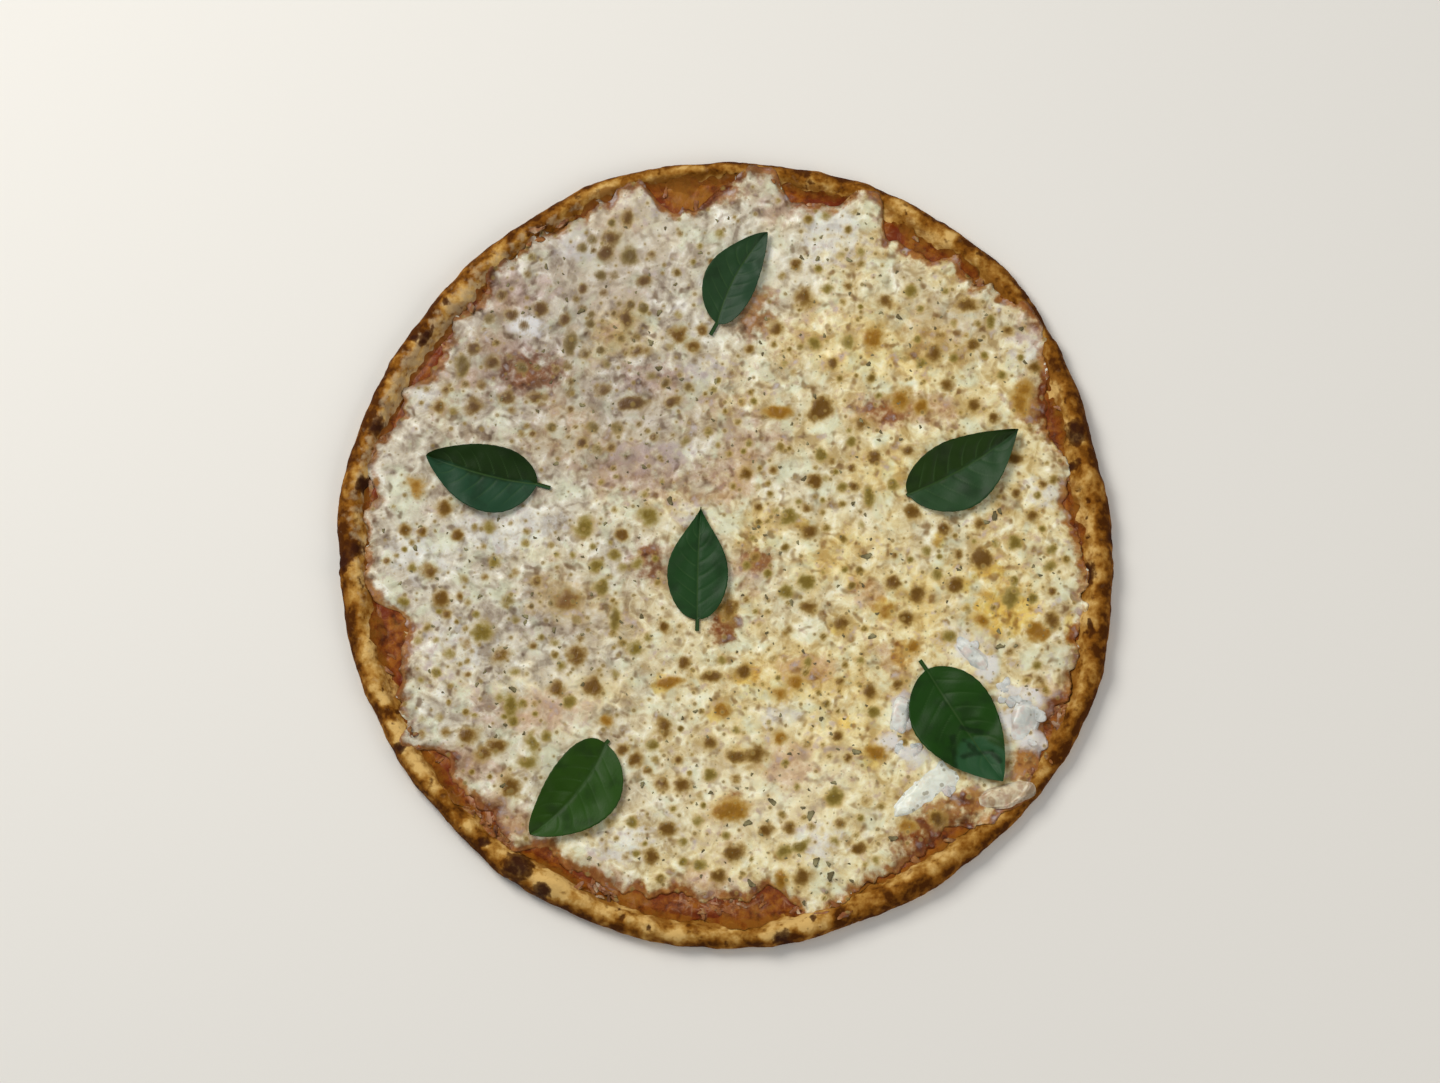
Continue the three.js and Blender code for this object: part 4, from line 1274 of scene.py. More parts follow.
@dataclass(frozen=True)
class SauceLayer:
    """The tomato sauce, seen in bays between the cheese and the rim.

    `deep` and `oily` hold the values of marks.
    """

    form: PizzaForm
    spokes: int = 1080
    steps: int = 20
    lap: float = 5
    clearance: float = 0.02
    film: float = 0.06
    edge_width: float = 4
    noise_radius: float = 165
    ragged_edge: Bumps = Bumps(11, 71, 3)
    frayed_edge: Bumps = Bumps(3.2, 72, 2)
    pulp: Bumps = Bumps(6, 81, 3)
    pulp_height: float = 0.4
    deep_patches: Bumps = Bumps(7, 75, 2)
    oil_patches: Bumps = Bumps(9, 73, 2)
    melted_patches: Bumps = Bumps(10, 74, 2)
    deep: tuple = (
        (-118.5, 88.5, 12, 19, -35), (-146.4, -21, 11, 18), (-9.2, -158.9, 21, 9), (98, 122.7, 8, 10),
        (67.9, 151.2, 6, 7), (44.5, 153.4, 13, 6, -10), (-59.4, -137.8, 13, 6, -10),
        (131.5, -92.8, 17, 11, 40), (72.4, 138.6, 11, 12), (135.4, 61.1, 6, 10), (-119.6, -96.2, 7, 11, 30),
    )
    oily: tuple = (
        (-12.6, 156.9, 26, 15, -10), (-0.1, 160.3, 11), (-60.5, 147.7, 29, 7, 25), (82.4, 136.3, 13, 13, -20),
        (-65, -137.8, 11, 6, -10), (-127.4, -88.2, 7, 6), (-143, -30.1, 9, 7), (20, -153.2, 19, 3, 30),
        (-37.1, -150.9, 13, 7, -10),
    )

    def rings(self) -> list[Array]:
        """Gives the rings of the layer, from under the cheese outwards and back over the top."""
        form = self.form
        angle = np.arange(self.spokes) * FULL_TURN / self.spokes
        place = polar(angle, self.noise_radius)
        ragged = 1.8 * self.ragged_edge.over(*place) + 0.9 * self.frayed_edge.over(*place)
        margin = form.sauce_margin_at(angle) + ragged
        hidden = np.maximum(form.cheese_margin_at(angle), form.rim_width_at(angle)) + self.lap
        rings = []
        for share in (1, 0.5, 0):
            x, y = polar(angle, form.outline(angle) - lerp(margin, hidden, share))
            rings.append(np.stack([x, y, form.dough_top(x, y) + self.clearance], axis=1))
        for share in np.linspace(0, 1, self.steps + 1):
            inset = lerp(margin, hidden, share)
            x, y = polar(angle, form.outline(angle) - inset)
            top = form.sauce_top(x, y) + self.pulp_height * self.pulp.over(x, y) * min(1, 4 * share)
            film = form.dough_top(x, y) + self.film
            z = lerp(film, top, smooth(inset - margin, 0, self.edge_width))
            rings.append(np.stack([x, y, z], axis=1))
        return rings

    def build(self) -> Piece:
        """Builds and dresses the sauce."""
        form = self.form
        top = form.base_thickness + form.gap + form.sauce_thickness
        points, faces = shell(self.rings(), form.base_thickness + self.clearance, top)
        x, y, _ = points.T
        angle, inset = angle_of(x, y), form.inset(x, y)
        inner = smooth(inset - form.cheese_margin_at(angle) + 6, 0, 6)
        deep = marked(x, y, self.deep) + inner * (0.45 + 0.6 * self.deep_patches.over(x, y))
        oily = 0.7 * marked(x, y, self.oily) + 0.2 + 0.6 * self.oil_patches.over(x, y) - 0.8 * deep
        fields = {
            "deep": deep, "oily": oily,
            "dried": smooth(form.sauce_margin_at(angle) + 6 - inset, 0, 7),
            "melted": 0.15 + 0.9 * self.strewn(angle, inset) + 0.25 * self.melted_patches.over(x, y),
        }
        piece = make_piece("sauce_layer", points, faces, TomatoSauce().material(), fields)
        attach(piece, BODY)
        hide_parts("tomato_sauce")
        return piece

    def strewn(self, angle: Array, inset: Array) -> Array:
        """Gives the strength of the places where strands of cheese lie on the sauce.

        Args:
            angle: Angles of the places.
            inset: Their distances inside the outer edge.

        Returns:
            The strength at each place, from 0 to 1.
        """
        total = np.zeros_like(angle)
        for bay in STREWN:
            across = bell(inset - (bay.first + bay.last) / 2, (bay.last - bay.first) / 2)
            total = np.maximum(total, bell(angle_between(angle, bay.angle), bay.spread) * across)
        return total


class Tone(Enum):
    """Colour of a toasted spot, as the place on the finish's ramp."""

    BROWN = 0.0
    DULL = 0.3
    OLIVE = 0.5
    AMBER = 1.0


@dataclass(frozen=True)
class CheeseLayer:
    """The melted cheese: run-together shreds, toasted blisters and patches where sauce glows.

    `brown`, `olive` and `amber` are the notable toasted spots and the later ones colour zones, all
    with the values of marks.
    """

    form: PizzaForm
    material: Material
    cells: int = 300
    under_insets: tuple = (0.15, 3, 8, 16)
    clearance: float = 0.05
    spread: float = 1.6
    least_margin: float = 1.6
    edge_thickness: float = 0.12
    edge_round: float = 8.0
    noise_radius: float = 150
    ragged_edge: Bumps = Bumps(13, 91, 2)
    frayed_edge: Bumps = Bumps(4.5, 92, 3)
    wobble: Bumps = Bumps(4, 101, 2)
    grain: Bumps = Bumps(2.6, 111, 2)
    fine_patches: Bumps = Bumps(6, 121, 3)
    wide_patches: Bumps = Bumps(24, 131, 2)
    edge_patches: Bumps = Bumps(11, 141, 2)
    thin_patches: Bumps = Bumps(9, 142, 2)
    blisters: Scatter = Scatter(71, 150, 7.5, 1)
    small: Scatter = Scatter(401, 430, 3.8, 0)
    shred_seed: int = 7
    shred_count: int = 2600
    shred_reach: float = 165
    shred_half: tuple = (2.5, 6)
    shred_height: tuple = (0.1, 0.34)
    shred_width: float = 0.95
    shred_curl: float = 0.04
    brown: tuple = (
        (-42.1, 146.6, 4.5, 6.7), (-48.8, 137.5, 6.2), (-51.3, 130.7, 5.1, 6.2), (-34.9, 118.7, 5.6, 3.9, 20),
        (-79.5, 106.2, 5.1), (-91.7, 103.5, 4.5), (-68.6, 101.9, 3.9), (-42.5, 101.6, 5.6, 6.7),
        (-20.4, 95.3, 6.2), (-14.2, 89.6, 5.1), (-10.1, 97, 4.5), (-99.8, 83, 5.1), (-37.1, 87.9, 6.7, 4.5),
        (-52.4, 70.8, 5.6), (-122.7, 63.6, 5.6), (-107.6, 63.6, 7.9, 5.6, 30), (-39.9, 65.1, 12.4, 5.4),
        (-22.6, 65.7, 5.6, 3.9, 20), (-81.2, 67.4, 6.7, 4.5), (-93.1, 67.7, 5.6), (-61.6, 48, 3.9),
        (-120.2, 19, 6.7, 5.6), (-44.4, 7.6, 6.7, 5.1), (-114.3, 7.3, 4.5), (-136.9, 9.8, 4.5),
        (-129.7, 9.3, 3.9), (40.6, 62.8, 12.4, 8.4, 38), (21.6, 98.2, 5.6), (33.9, 111.3, 6.7, 9),
        (30, 125.5, 4.5), (45.8, 82.2, 5.1), (68.5, 109.9, 9, 5.1, -30), (89.6, 86.8, 5.6, 6.7),
        (95.2, 72.9, 5.6), (105.8, 90.8, 5.1), (103.6, 107.9, 9, 5.6, -10), (132, 80.7, 5.1),
        (106.4, 64, 5.6), (114.7, 58.8, 5.1), (57.9, 56, 6.7), (64, 41.5, 6.2), (77.7, 44, 6.7, 4.5),
        (53.4, 36.6, 3.9), (8.8, 34.3, 5.6), (36.1, 9.6, 6.2), (37.8, 30.9, 5.6), (131.1, 16.1, 5.1),
        (109.2, -3, 10.1, 9), (123.7, 41.2, 6.7, 4.5), (79.6, 17.8, 6.7), (93, 10.4, 5.6),
        (-126.9, -8.4, 6.7, 6.2), (-121.6, -20, 5.6, 6.7), (-96.2, -45.1, 7.9, 6.7), (-63.9, -44.9, 7.3, 8.4),
        (-55.8, -58.6, 8.4, 7.9), (-109.6, -79.6, 9, 6.7), (-97.3, -84.2, 7.9, 6.7), (-102.9, -87.6, 5.6),
        (-91.2, -101.9, 9.6, 8.4, -30), (-72.2, -59.7, 6.2), (-26.5, -32.3, 5.1), (-18.2, -48.3, 5.6),
        (-26, -76.2, 6.7), (-43.8, -85.9, 5.1), (-38.8, -89.9, 5.6), (-7, -82.5, 5.6), (-6.4, -54, 9, 5.1),
        (-27.1, -100.2, 6.2), (-18.7, -101.3, 6.2), (-24.8, -120.1, 6.7), (-31.3, -132.6, 6.7),
        (-2.5, -140.6, 6.2), (71.8, -13.5, 6.7, 6.2), (81.8, -18.9, 6.7, 7.3), (77.9, -28.7, 6.2),
        (49.5, -30.6, 7.9, 6.7), (35.6, -23.8, 6.7, 6.2), (98.6, -14.1, 6.7), (139.3, -29.8, 6.7),
        (61.8, -60.8, 5.6, 7.3), (7.7, -51.7, 6.7), (13.3, -88.2, 8.4, 9), (3.8, -88.8, 7.9, 5.6),
        (17.2, -121.3, 6.7), (27.4, -119.9, 5.6), (3.8, -130.1, 7.9, 7.3), (56.2, -129.2, 5.6),
        (32.8, -141, 8.4, 7.3), (73.5, -57.4, 5.6), (90.8, -115.6, 6.7), (1.2, -24.5, 7.5, 11),
    )
    olive: tuple = (
        (-41.6, 129.5, 6.2), (-66.3, 91, 4.5, 8.4), (-112.9, 81.1, 4.5, 9), (-60.5, 11.3, 7.3),
        (-33.2, 16.4, 7.3), (-101.2, 11.5, 5.1), (38.4, 91.3, 5.1), (52.3, 91.7, 5.1), (79.3, 113.8, 5.1),
        (83.5, 82.2, 4.5), (113.4, 101, 3.4, 6.7), (41.1, 42.5, 5.1), (27.2, 16.1, 6.2, 8.4),
        (71.2, 30.1, 5.1), (123.3, 3.9, 6.2), (139.5, 1.1, 4.5), (61.2, 24.7, 4.5, 7.9),
        (-103.8, -34.8, 8.4, 7.9), (-92.9, -21.2, 5.1), (-98.4, -4.1, 4.5), (-91.7, -66.5, 4.5, 9),
        (-55.5, -5.6, 5.6), (-52.7, -15.2, 5.6), (-47.1, -28.4, 3.9, 10.1), (-38.2, -42, 6.2),
        (-31.3, -83.9, 4.5), (-5.9, -96.7, 5.6), (-11.5, -136.1, 5.6), (-83.9, -91.6, 7.9, 5.6),
        (-82.3, -83.1, 5.6, 7.9), (34.5, -13, 6.7), (26.1, -17, 5.6), (90.2, -9.5, 4.5),
        (122, -19.8, 6.7, 7.9), (95.2, -36.9, 5.6), (62.3, -69.4, 6.2, 4.5), (46.2, -106.4, 6.7),
        (24.4, -130.4, 6.2), (32.2, -128.1, 7.9, 4.5, 20),
    )
    amber: tuple = (
        (-131.9, 28.6, 7.3), (63.4, 93.6, 6.7, 11.2), (21.6, 61.1, 12.4, 5.6), (74.6, 67.4, 7.9),
        (83.5, 63.4, 5.6), (127.6, 70.8, 6.7), (125.9, 65.1, 6.7, 9), (-67.8, -20.9, 7.9, 6.7),
        (-50.5, -73.9, 6.2, 5.1), (-24.8, -56.8, 12.4, 4.5, 10), (-1.4, -113.3, 7.9), (-1.4, -68.8, 6.7),
        (68.1, -24.9, 6.2), (132.6, -34.6, 10.7, 8.4), (109.2, -30.1, 5.6), (23.3, -62, 6.2, 5.1),
        (30, -56.8, 6.7), (64.6, -87.6, 11.2, 6.2, -20), (3.2, -112.1, 12.4, 10.1), (23.5, -141.8, 6.7),
        (76.3, -119, 6.7, 5.6), (80.2, -41.5, 6.2), (22.7, -81.4, 5.6),
    )
    rose: tuple = (
        (-92, 80, 38, 27), (-85.5, 114.5, 30, 17), (-34.3, -3.2, 22, 19), (11.3, -8.5, 20, 19),
        (25.8, -91.3, 20, 19), (-83.4, -68.6, 52, 17), (-32.2, 76.1, 34, 13), (126.5, 96.2, 17, 19),
        (-105.6, -92.6, 26, 13, -30), (-36.5, 36, 47, 22), (65.9, 61.3, 26, 15), (85.1, 62.2, 26, 13),
        (11.3, 48.2, 30, 22), (24.1, 151.5, 26, 15), (61.6, -17.2, 17, 13), (73.1, -44.7, 15, 13),
        (136.3, -64.3, 17), (-10.9, -142.8, 26, 13), (-53.5, -138.4, 34, 11, -20),
        (-92.8, -113.1, 30, 13, -30), (36, -50.3, 26, 11), (-2.3, 31.6, 39, 22),
    )
    # Milky white patches; those at (-85.9, 98.8) and (124.3, -73.9) also paint glints of light on the oily
    # cheese.
    milk_and_glint: tuple = (
        (-36.5, 151.5, 26, 22), (-64.2, 134.1, 22, 17), (-85.9, 98.8, 19, 10), (-10.9, 78.7, 26, 15),
        (-128.2, 68.7, 15, 17), (-91.9, 9.8, 47, 22), (-117.5, -42.5, 34, 30), (-14.3, 17.7, 20, 13),
        (45.4, 144.1, 26, 17), (124.3, -73.9, 26), (104.3, -38.1, 22, 19), (75.3, -69.5, 15, 22),
        (-47.1, -126.2, 30, 19), (21.1, -70.8, 22, 11), (134.1, 26.4, 22, 17), (-130.3, -3.2, 34, 22),
        (-109, 31.6, 26, 13), (48.8, 131.9, 34, 22), (129.9, 88.3, 22), (40.3, -125.3, 26, 17),
        (-33, 42, 40, 18),
    )
    gold: tuple = (
        (-70.6, -20.7, 39, 22), (95.7, -20.7, 77, 43), (110.7, -25.9, 30, 22), (31.8, -68.6, 77, 52),
        (53.1, -3.2, 52, 30), (-45, 94.9, 39, 26), (65.9, 88.3, 69, 34), (15.6, 12, 26),
        (-53.5, -59.9, 34, 22), (74.4, 31.6, 52, 22), (-87.6, -59.9, 26), (-70.6, -134, 26, 13),
    )
    gilt: tuple = (
        (118.1, -27.3, 34, 24), (75.3, -44.2, 11, 13), (110.9, -8.4, 17, 9), (61.8, -89.4, 10, 13),
        (45.7, -107.2, 9, 9), (6.9, -87.9, 13, 9), (146.9, -33.8, 6, 18), (-27.8, -57.7, 9, 10),
        (91.6, 5.7, 7, 10), (148.6, 20.7, 6, 10), (101.1, -14.7, 8, 7), (141.8, 51, 8, 13),
        (2.2, -108.9, 15, 12), (-4.9, -71.7, 8, 6), (8.4, -53.6, 12, 10), (48.2, -33.4, 8, 6),
        (51.6, -74.2, 8, 6), (32.8, 12.1, 7, 6), (67.7, -23.9, 10, 10),
    )
    dim: tuple = (
        (-70, 105, 120, 80, 30), (-45, 60, 90, 60), (100, 100, 50, 30), (-70, -25, 50, 30),
    )
    # Toasted patches; the one at (13.4, 104.9) beside the far leaf is partly painted shade of the leaf.
    toast_and_shade: tuple = (
        (13.4, 104.9, 19, 26, -20), (-1, -31, 15, 25), (80.8, -126.2, 26, 19), (-10.9, 158.1, 39, 17),
        (-84, 78.5, 32, 19), (91.5, -116.6, 34, 22, 20), (98, -109, 12, 9, 30), (70.2, 62.2, 26, 13),
        (129.9, 66.5, 17, 26), (4.1, -110.1, 15), (-33, -4, 15, 17), (14.5, -3.5, 17, 12),
    )
    thin: tuple = (
        (128.6, -92, 18, 15, 40), (107, -121, 22, 9, 40), (86, -120, 26, 11, 20), (-120, 93, 12, 8),
        (105, -108, 11, 15), (0.5, -30, 10, 15),
    )
    pale: tuple = (
        (14, -105, 95, 66), (-70, -58, 60, 45), (-36, 142, 52, 34), (14, 122, 46, 40), (-60, 118, 40, 26),
    )
    # Whey round the fresh mozzarella; the patch at (-85, 98.5) is a painted glint of light on the cheese.
    whey: tuple = (
        (75.3, -70.4, 10, 14), (120.5, -61.2, 12, 8), (129.9, -63.4, 12, 8), (123.9, -72.1, 13, 11),
        (132.4, -82.6, 15, 8), (101.7, -43.4, 10, 9), (112, -51.2, 9, 11), (70.2, -82.6, 11, 6),
        (79.5, -87.8, 14, 9, -30), (-85, 98.5, 12, 8),
    )

    def spots(self) -> list[tuple[Mark, Tone, float]]:
        """Gives every toasted spot with its tone and how deep it is toasted, from 0 to 1.

        Returns:
            The notable spots, the solids' blisters and small ones between.
        """
        named = ((self.brown, Tone.BROWN), (self.olive, Tone.OLIVE), (self.amber, Tone.AMBER))
        spots = [(Mark(*values), tone, 1.0) for marks, tone in named for values in marks]
        blisters, small = self.blisters.over(self.form), self.small.over(self.form)
        spare = [(x, y, lerp(2.6, 5.0, draw), draw, Tone.BROWN) for x, y, draw in blisters]
        spare += [(x, y, lerp(1.8, 4.0, draw), draw, Tone.DULL) for x, y, draw in small]
        for x, y, size, draw, usual in spare:
            depth = 0.3 + 0.75 * ((7 * draw) % 1)
            tone = Tone.OLIVE if (3 * draw) % 1 > 0.6 else usual
            if all(math.hypot(x - mark.x, y - mark.y) > (mark.length + size) * 0.62 for mark, _, _ in spots):
                spots.append((Mark(x, y, size), tone, depth))
        return spots

    def shreds(self, x: Array, y: Array) -> Array:
        """Gives the height of the melted shreds: short soft ridges that lie every way.

        Args:
            x, y: The places.

        Returns:
            The height at each place.
        """
        rng = np.random.default_rng(self.shred_seed)
        total = np.zeros_like(x)
        order = np.argsort(x)
        sorted_x = x[order]
        for _ in range(self.shred_count):
            sx, sy = polar(rng.uniform(0, FULL_TURN), self.shred_reach * math.sqrt(rng.uniform(0, 1)))
            turn, half = rng.uniform(0, math.pi), rng.uniform(*self.shred_half)
            height = rng.uniform(*self.shred_height)
            first, last = np.searchsorted(sorted_x, (sx - half - 3, sx + half + 3))
            near = order[first:last]
            near = near[np.abs(y[near] - sy) < half + 3]
            dx, dy = x[near] - sx, y[near] - sy
            along = dx * math.cos(turn) + dy * math.sin(turn)
            across = dy * math.cos(turn) - dx * math.sin(turn) + self.shred_curl * along**2
            ridge = height * bell(across, self.shred_width) * smooth(half + 1 - np.abs(along), 0, 2.5)
            total[near] = np.maximum(total[near], ridge)
        return total

    def plan(self) -> tuple[Array, Array, Array, Array]:
        """Lays a square grid out over the cheese.

        Returns:
            X and Y of the grid's places, their distances from the cheese's edge, and the numbers of
            those on the edge.
        """
        form, count = self.form, self.cells
        line = np.linspace(-1, 1, count + 1)
        a, b = (grid.ravel() for grid in np.meshgrid(line, line, indexing="ij"))
        sideways = np.abs(a) > np.abs(b)
        reach = np.where(sideways, a, b)
        ratio = np.divide(np.where(sideways, b, a), np.where(reach == 0, 1, reach))
        turn = np.where(sideways, math.pi / 4 * ratio, math.pi / 2 - math.pi / 4 * ratio)
        angle, share = angle_of(reach * np.cos(turn), reach * np.sin(turn)), np.abs(reach)
        place = polar(angle, self.noise_radius)
        ragged = 2.2 * self.ragged_edge.over(*place) + 2.2 * self.frayed_edge.over(*place) - self.spread
        edge = form.outline(angle) - np.maximum(form.cheese_margin_at(angle) + ragged, self.least_margin)
        middle = (form.width + form.depth) / 4 - form.cheese_margin
        radius = share * lerp(middle, edge, share**4)
        border = np.flatnonzero(share == 1)
        border = border[np.argsort(angle[border] % FULL_TURN)]
        return *polar(angle, radius), edge - radius, border

    def toasted(self, x: Array, y: Array) -> tuple[Array, Array]:
        """Finds the toasted spots.

        Args:
            x, y: The places.

        Returns:
            The nearness to the nearest spot, 0 on its edge, and that spot's tone.
        """
        spot, tone = np.full_like(x, -1.0), np.zeros_like(x)
        wobble = 0.3 * self.wobble.over(x, y)
        for mark, kind, peak in self.spots():
            near = mark.nearness(x, y) * max(1.0, mark.length / 8) + wobble * min(1.0, mark.length / 6)
            near = np.where(near > 0, near * peak, near) - 0.25 * (1 - peak)
            tone = np.where(near > spot, kind.value, tone)
            spot = np.maximum(spot, near)
        return spot, tone

    def top(self, x: Array, y: Array, bumps: Array, from_edge: Array) -> Array:
        """Gives the height of the cheese's upper surface, with its rounded edge.

        Args:
            x, y: The places.
            bumps: Height of the relief there, which the leaves press flat.
            from_edge: Distance of the places from the cheese's edge.

        Returns:
            The height at each place.
        """
        covered = np.zeros_like(x)
        for leaf in LEAVES:
            covered = np.maximum(covered, smooth(leaf.width * 0.55 - leaf.distance(x, y), -2, 2))
        share = np.sin(math.pi / 2 * np.clip(from_edge / self.edge_round, 0, 1)) ** 1.25
        top = self.form.cheese_top(x, y) + bumps * (1 - 0.85 * covered)
        return lerp(self.form.cheese_seat(x, y) + self.edge_thickness, top, share)

    def build(self) -> Piece:
        """Builds and dresses the cheese."""
        form = self.form
        x, y, from_edge, border = self.plan()
        spot, tone = self.toasted(x, y)
        fields, shreds = self.fields(x, y, from_edge), self.shreds(x, y)
        bumps = shreds + 0.16 * self.grain.over(x, y)
        bumps += 0.42 * smooth(spot, -0.2, 0.5) - 0.3 * smooth(fields["rose"], 0.3, 1)
        bumps += 0.5 * smooth(fields["whey"], 0.0, 1.0)
        rows = [np.stack([x, y, self.top(x, y, bumps, from_edge)], axis=1)]
        angle, edge = angle_of(x[border], y[border]), np.hypot(x[border], y[border])
        for inset in self.under_insets:
            ux, uy = polar(angle, edge - inset)
            rows.append(np.stack([ux, uy, form.cheese_seat(ux, uy) - self.clearance], axis=1))
        middle = form.base_thickness + form.sauce_thickness + form.gap - 2 * self.clearance
        points = np.concatenate([*rows, [[0, 0, middle]]])
        count = self.cells + 1
        corner = (np.arange(self.cells)[:, None] * count + np.arange(self.cells)).ravel()
        faces = np.stack([corner, corner + count, corner + count + 1, corner + 1], axis=1).tolist()
        rings = [len(x) + len(border) * row + np.arange(len(border)) for row in range(len(self.under_insets))]
        faces += ring_faces([np.array([len(points) - 1]), *rings[::-1], border])
        fields |= {"spot": spot, "spot_tone": tone, "shred": shreds / self.shred_height[1]}
        hidden = len(points) - len(x)
        fields = {name: np.concatenate([values, np.full(hidden, values.min())])
                  for name, values in fields.items()}
        piece = make_piece("cheese_melted", points, faces, self.material, fields)
        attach(piece, BODY)
        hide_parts("cheese")
        return piece

    def fields(self, x: Array, y: Array, from_edge: Array) -> dict[str, Array]:
        """Gives the strength of the colour zones, broken up into patches.

        Args:
            x, y: The places.
            from_edge: Their distance from the cheese's edge.

        Returns:
            The strengths by name, one for each place.
        """
        fine, wide = self.fine_patches.over(x, y), self.wide_patches.over(x, y)
        edge = smooth(9 - from_edge, 0, 8) * smooth(self.edge_patches.over(x, y), -0.2, 0.7)
        thin = smooth(7 - from_edge, 0, 7) * (0.95 + 0.55 * self.thin_patches.over(x, y))
        thin = np.maximum(thin, 0.9 * marked(x, y, self.thin))
        zones = {
            "rose": 0.7 * marked(x, y, self.rose) + 0.45 * edge + 0.2 * wide,
            "milk_and_glint": 0.7 * marked(x, y, self.milk_and_glint) - 0.15 * wide,
            "gold": 0.7 * marked(x, y, self.gold) + 0.15 * wide,
            "toast_and_shade": 0.9 * marked(x, y, self.toast_and_shade) + 0.25 * edge,
            "whey": marked(x, y, self.whey),
            "gilt": marked(x, y, self.gilt) + 0.15 * wide,
            "pale": 0.9 * marked(x, y, self.pale, 0.8) + 0.2 * wide,
        }
        zones = {name: zone + 0.25 * fine for name, zone in zones.items()}
        warm = smooth(x - 0.5 * y, -130, 90) + 0.3 * wide + 0.15 * fine
        dim = marked(x, y, self.dim, 0.8) + 0.25 * wide
        return zones | {"thin": thin, "warm": np.clip(warm, 0, 1), "dim": dim}


@dataclass(frozen=True)
class FreshCurd:
    """One piece of fresh mozzarella that kept its shape."""

    form: PizzaForm
    curd: Curd
    material: Material
    rise: float = 0.7
    boxiness: float = 0.85
    lumps: Swells = Swells(2.2, 0.15)
    torn_size: float = 6
    torn_height: float = 0.1
    hidden: float = 0.6
    foot: float = 2.2

    def build(self) -> Piece:
        """Builds and dresses the piece."""
        bpy.ops.mesh.primitive_ico_sphere_add(subdivisions=6, radius=1)
        piece = bpy.context.object
        piece.name = piece.data.name = f"{self.curd.name}_moist"
        points = np.zeros(len(piece.data.vertices) * 3)
        piece.data.vertices.foreach_get("co", points)
        piece.data.vertices.foreach_set("co", (self.shape(points.reshape(-1, 3)) * MM).ravel())
        piece.data.update()
        piece.data.materials.append(self.material)
        piece.data.shade_smooth()
        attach(piece, BODY)
        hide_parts(self.curd.name)
        return piece

    def shape(self, unit: Array) -> Array:
        """Turns a unit ball into the lumpy flattened piece that lies on the cheese.

        Args:
            unit: Places on the ball.

        Returns:
            Places on the piece.
        """
        curd = self.curd
        px, py, pz = unit.T
        swell = 1 + self.lumps.at(px + 9 * curd.seed, py - pz)
        place = np.sign(unit) * np.abs(unit * swell[:, None]) ** self.boxiness
        place[:, 1] *= lerp(1 - curd.taper, 1, np.clip((place[:, 0] + 1) / 2, 0, 1))
        half_height = curd.height / self.rise
        size = np.array([curd.length / 2, curd.width / 2, half_height])
        torn = 1 + self.torn_height * Bumps(self.torn_size, 7 * curd.seed, 2).at(unit * size)
        x, y, z = (place * size * torn[:, None]).T
        c, s = polar(curd.turn, 1)
        x, y = x * c - y * s + curd.x, x * s + y * c + curd.y
        middle = self.form.cheese_top(np.array([curd.x]), np.array([curd.y]))[0] + curd.height - half_height
        top = self.form.cheese_top(x, y)
        over = z + middle - top
        above = np.clip(over / curd.height, 0, None)
        rise = np.where(above < 1, above**self.foot, above) * curd.height
        return np.stack([x, y, top + np.where(above > 0, rise, np.maximum(over, -self.hidden))], axis=1)


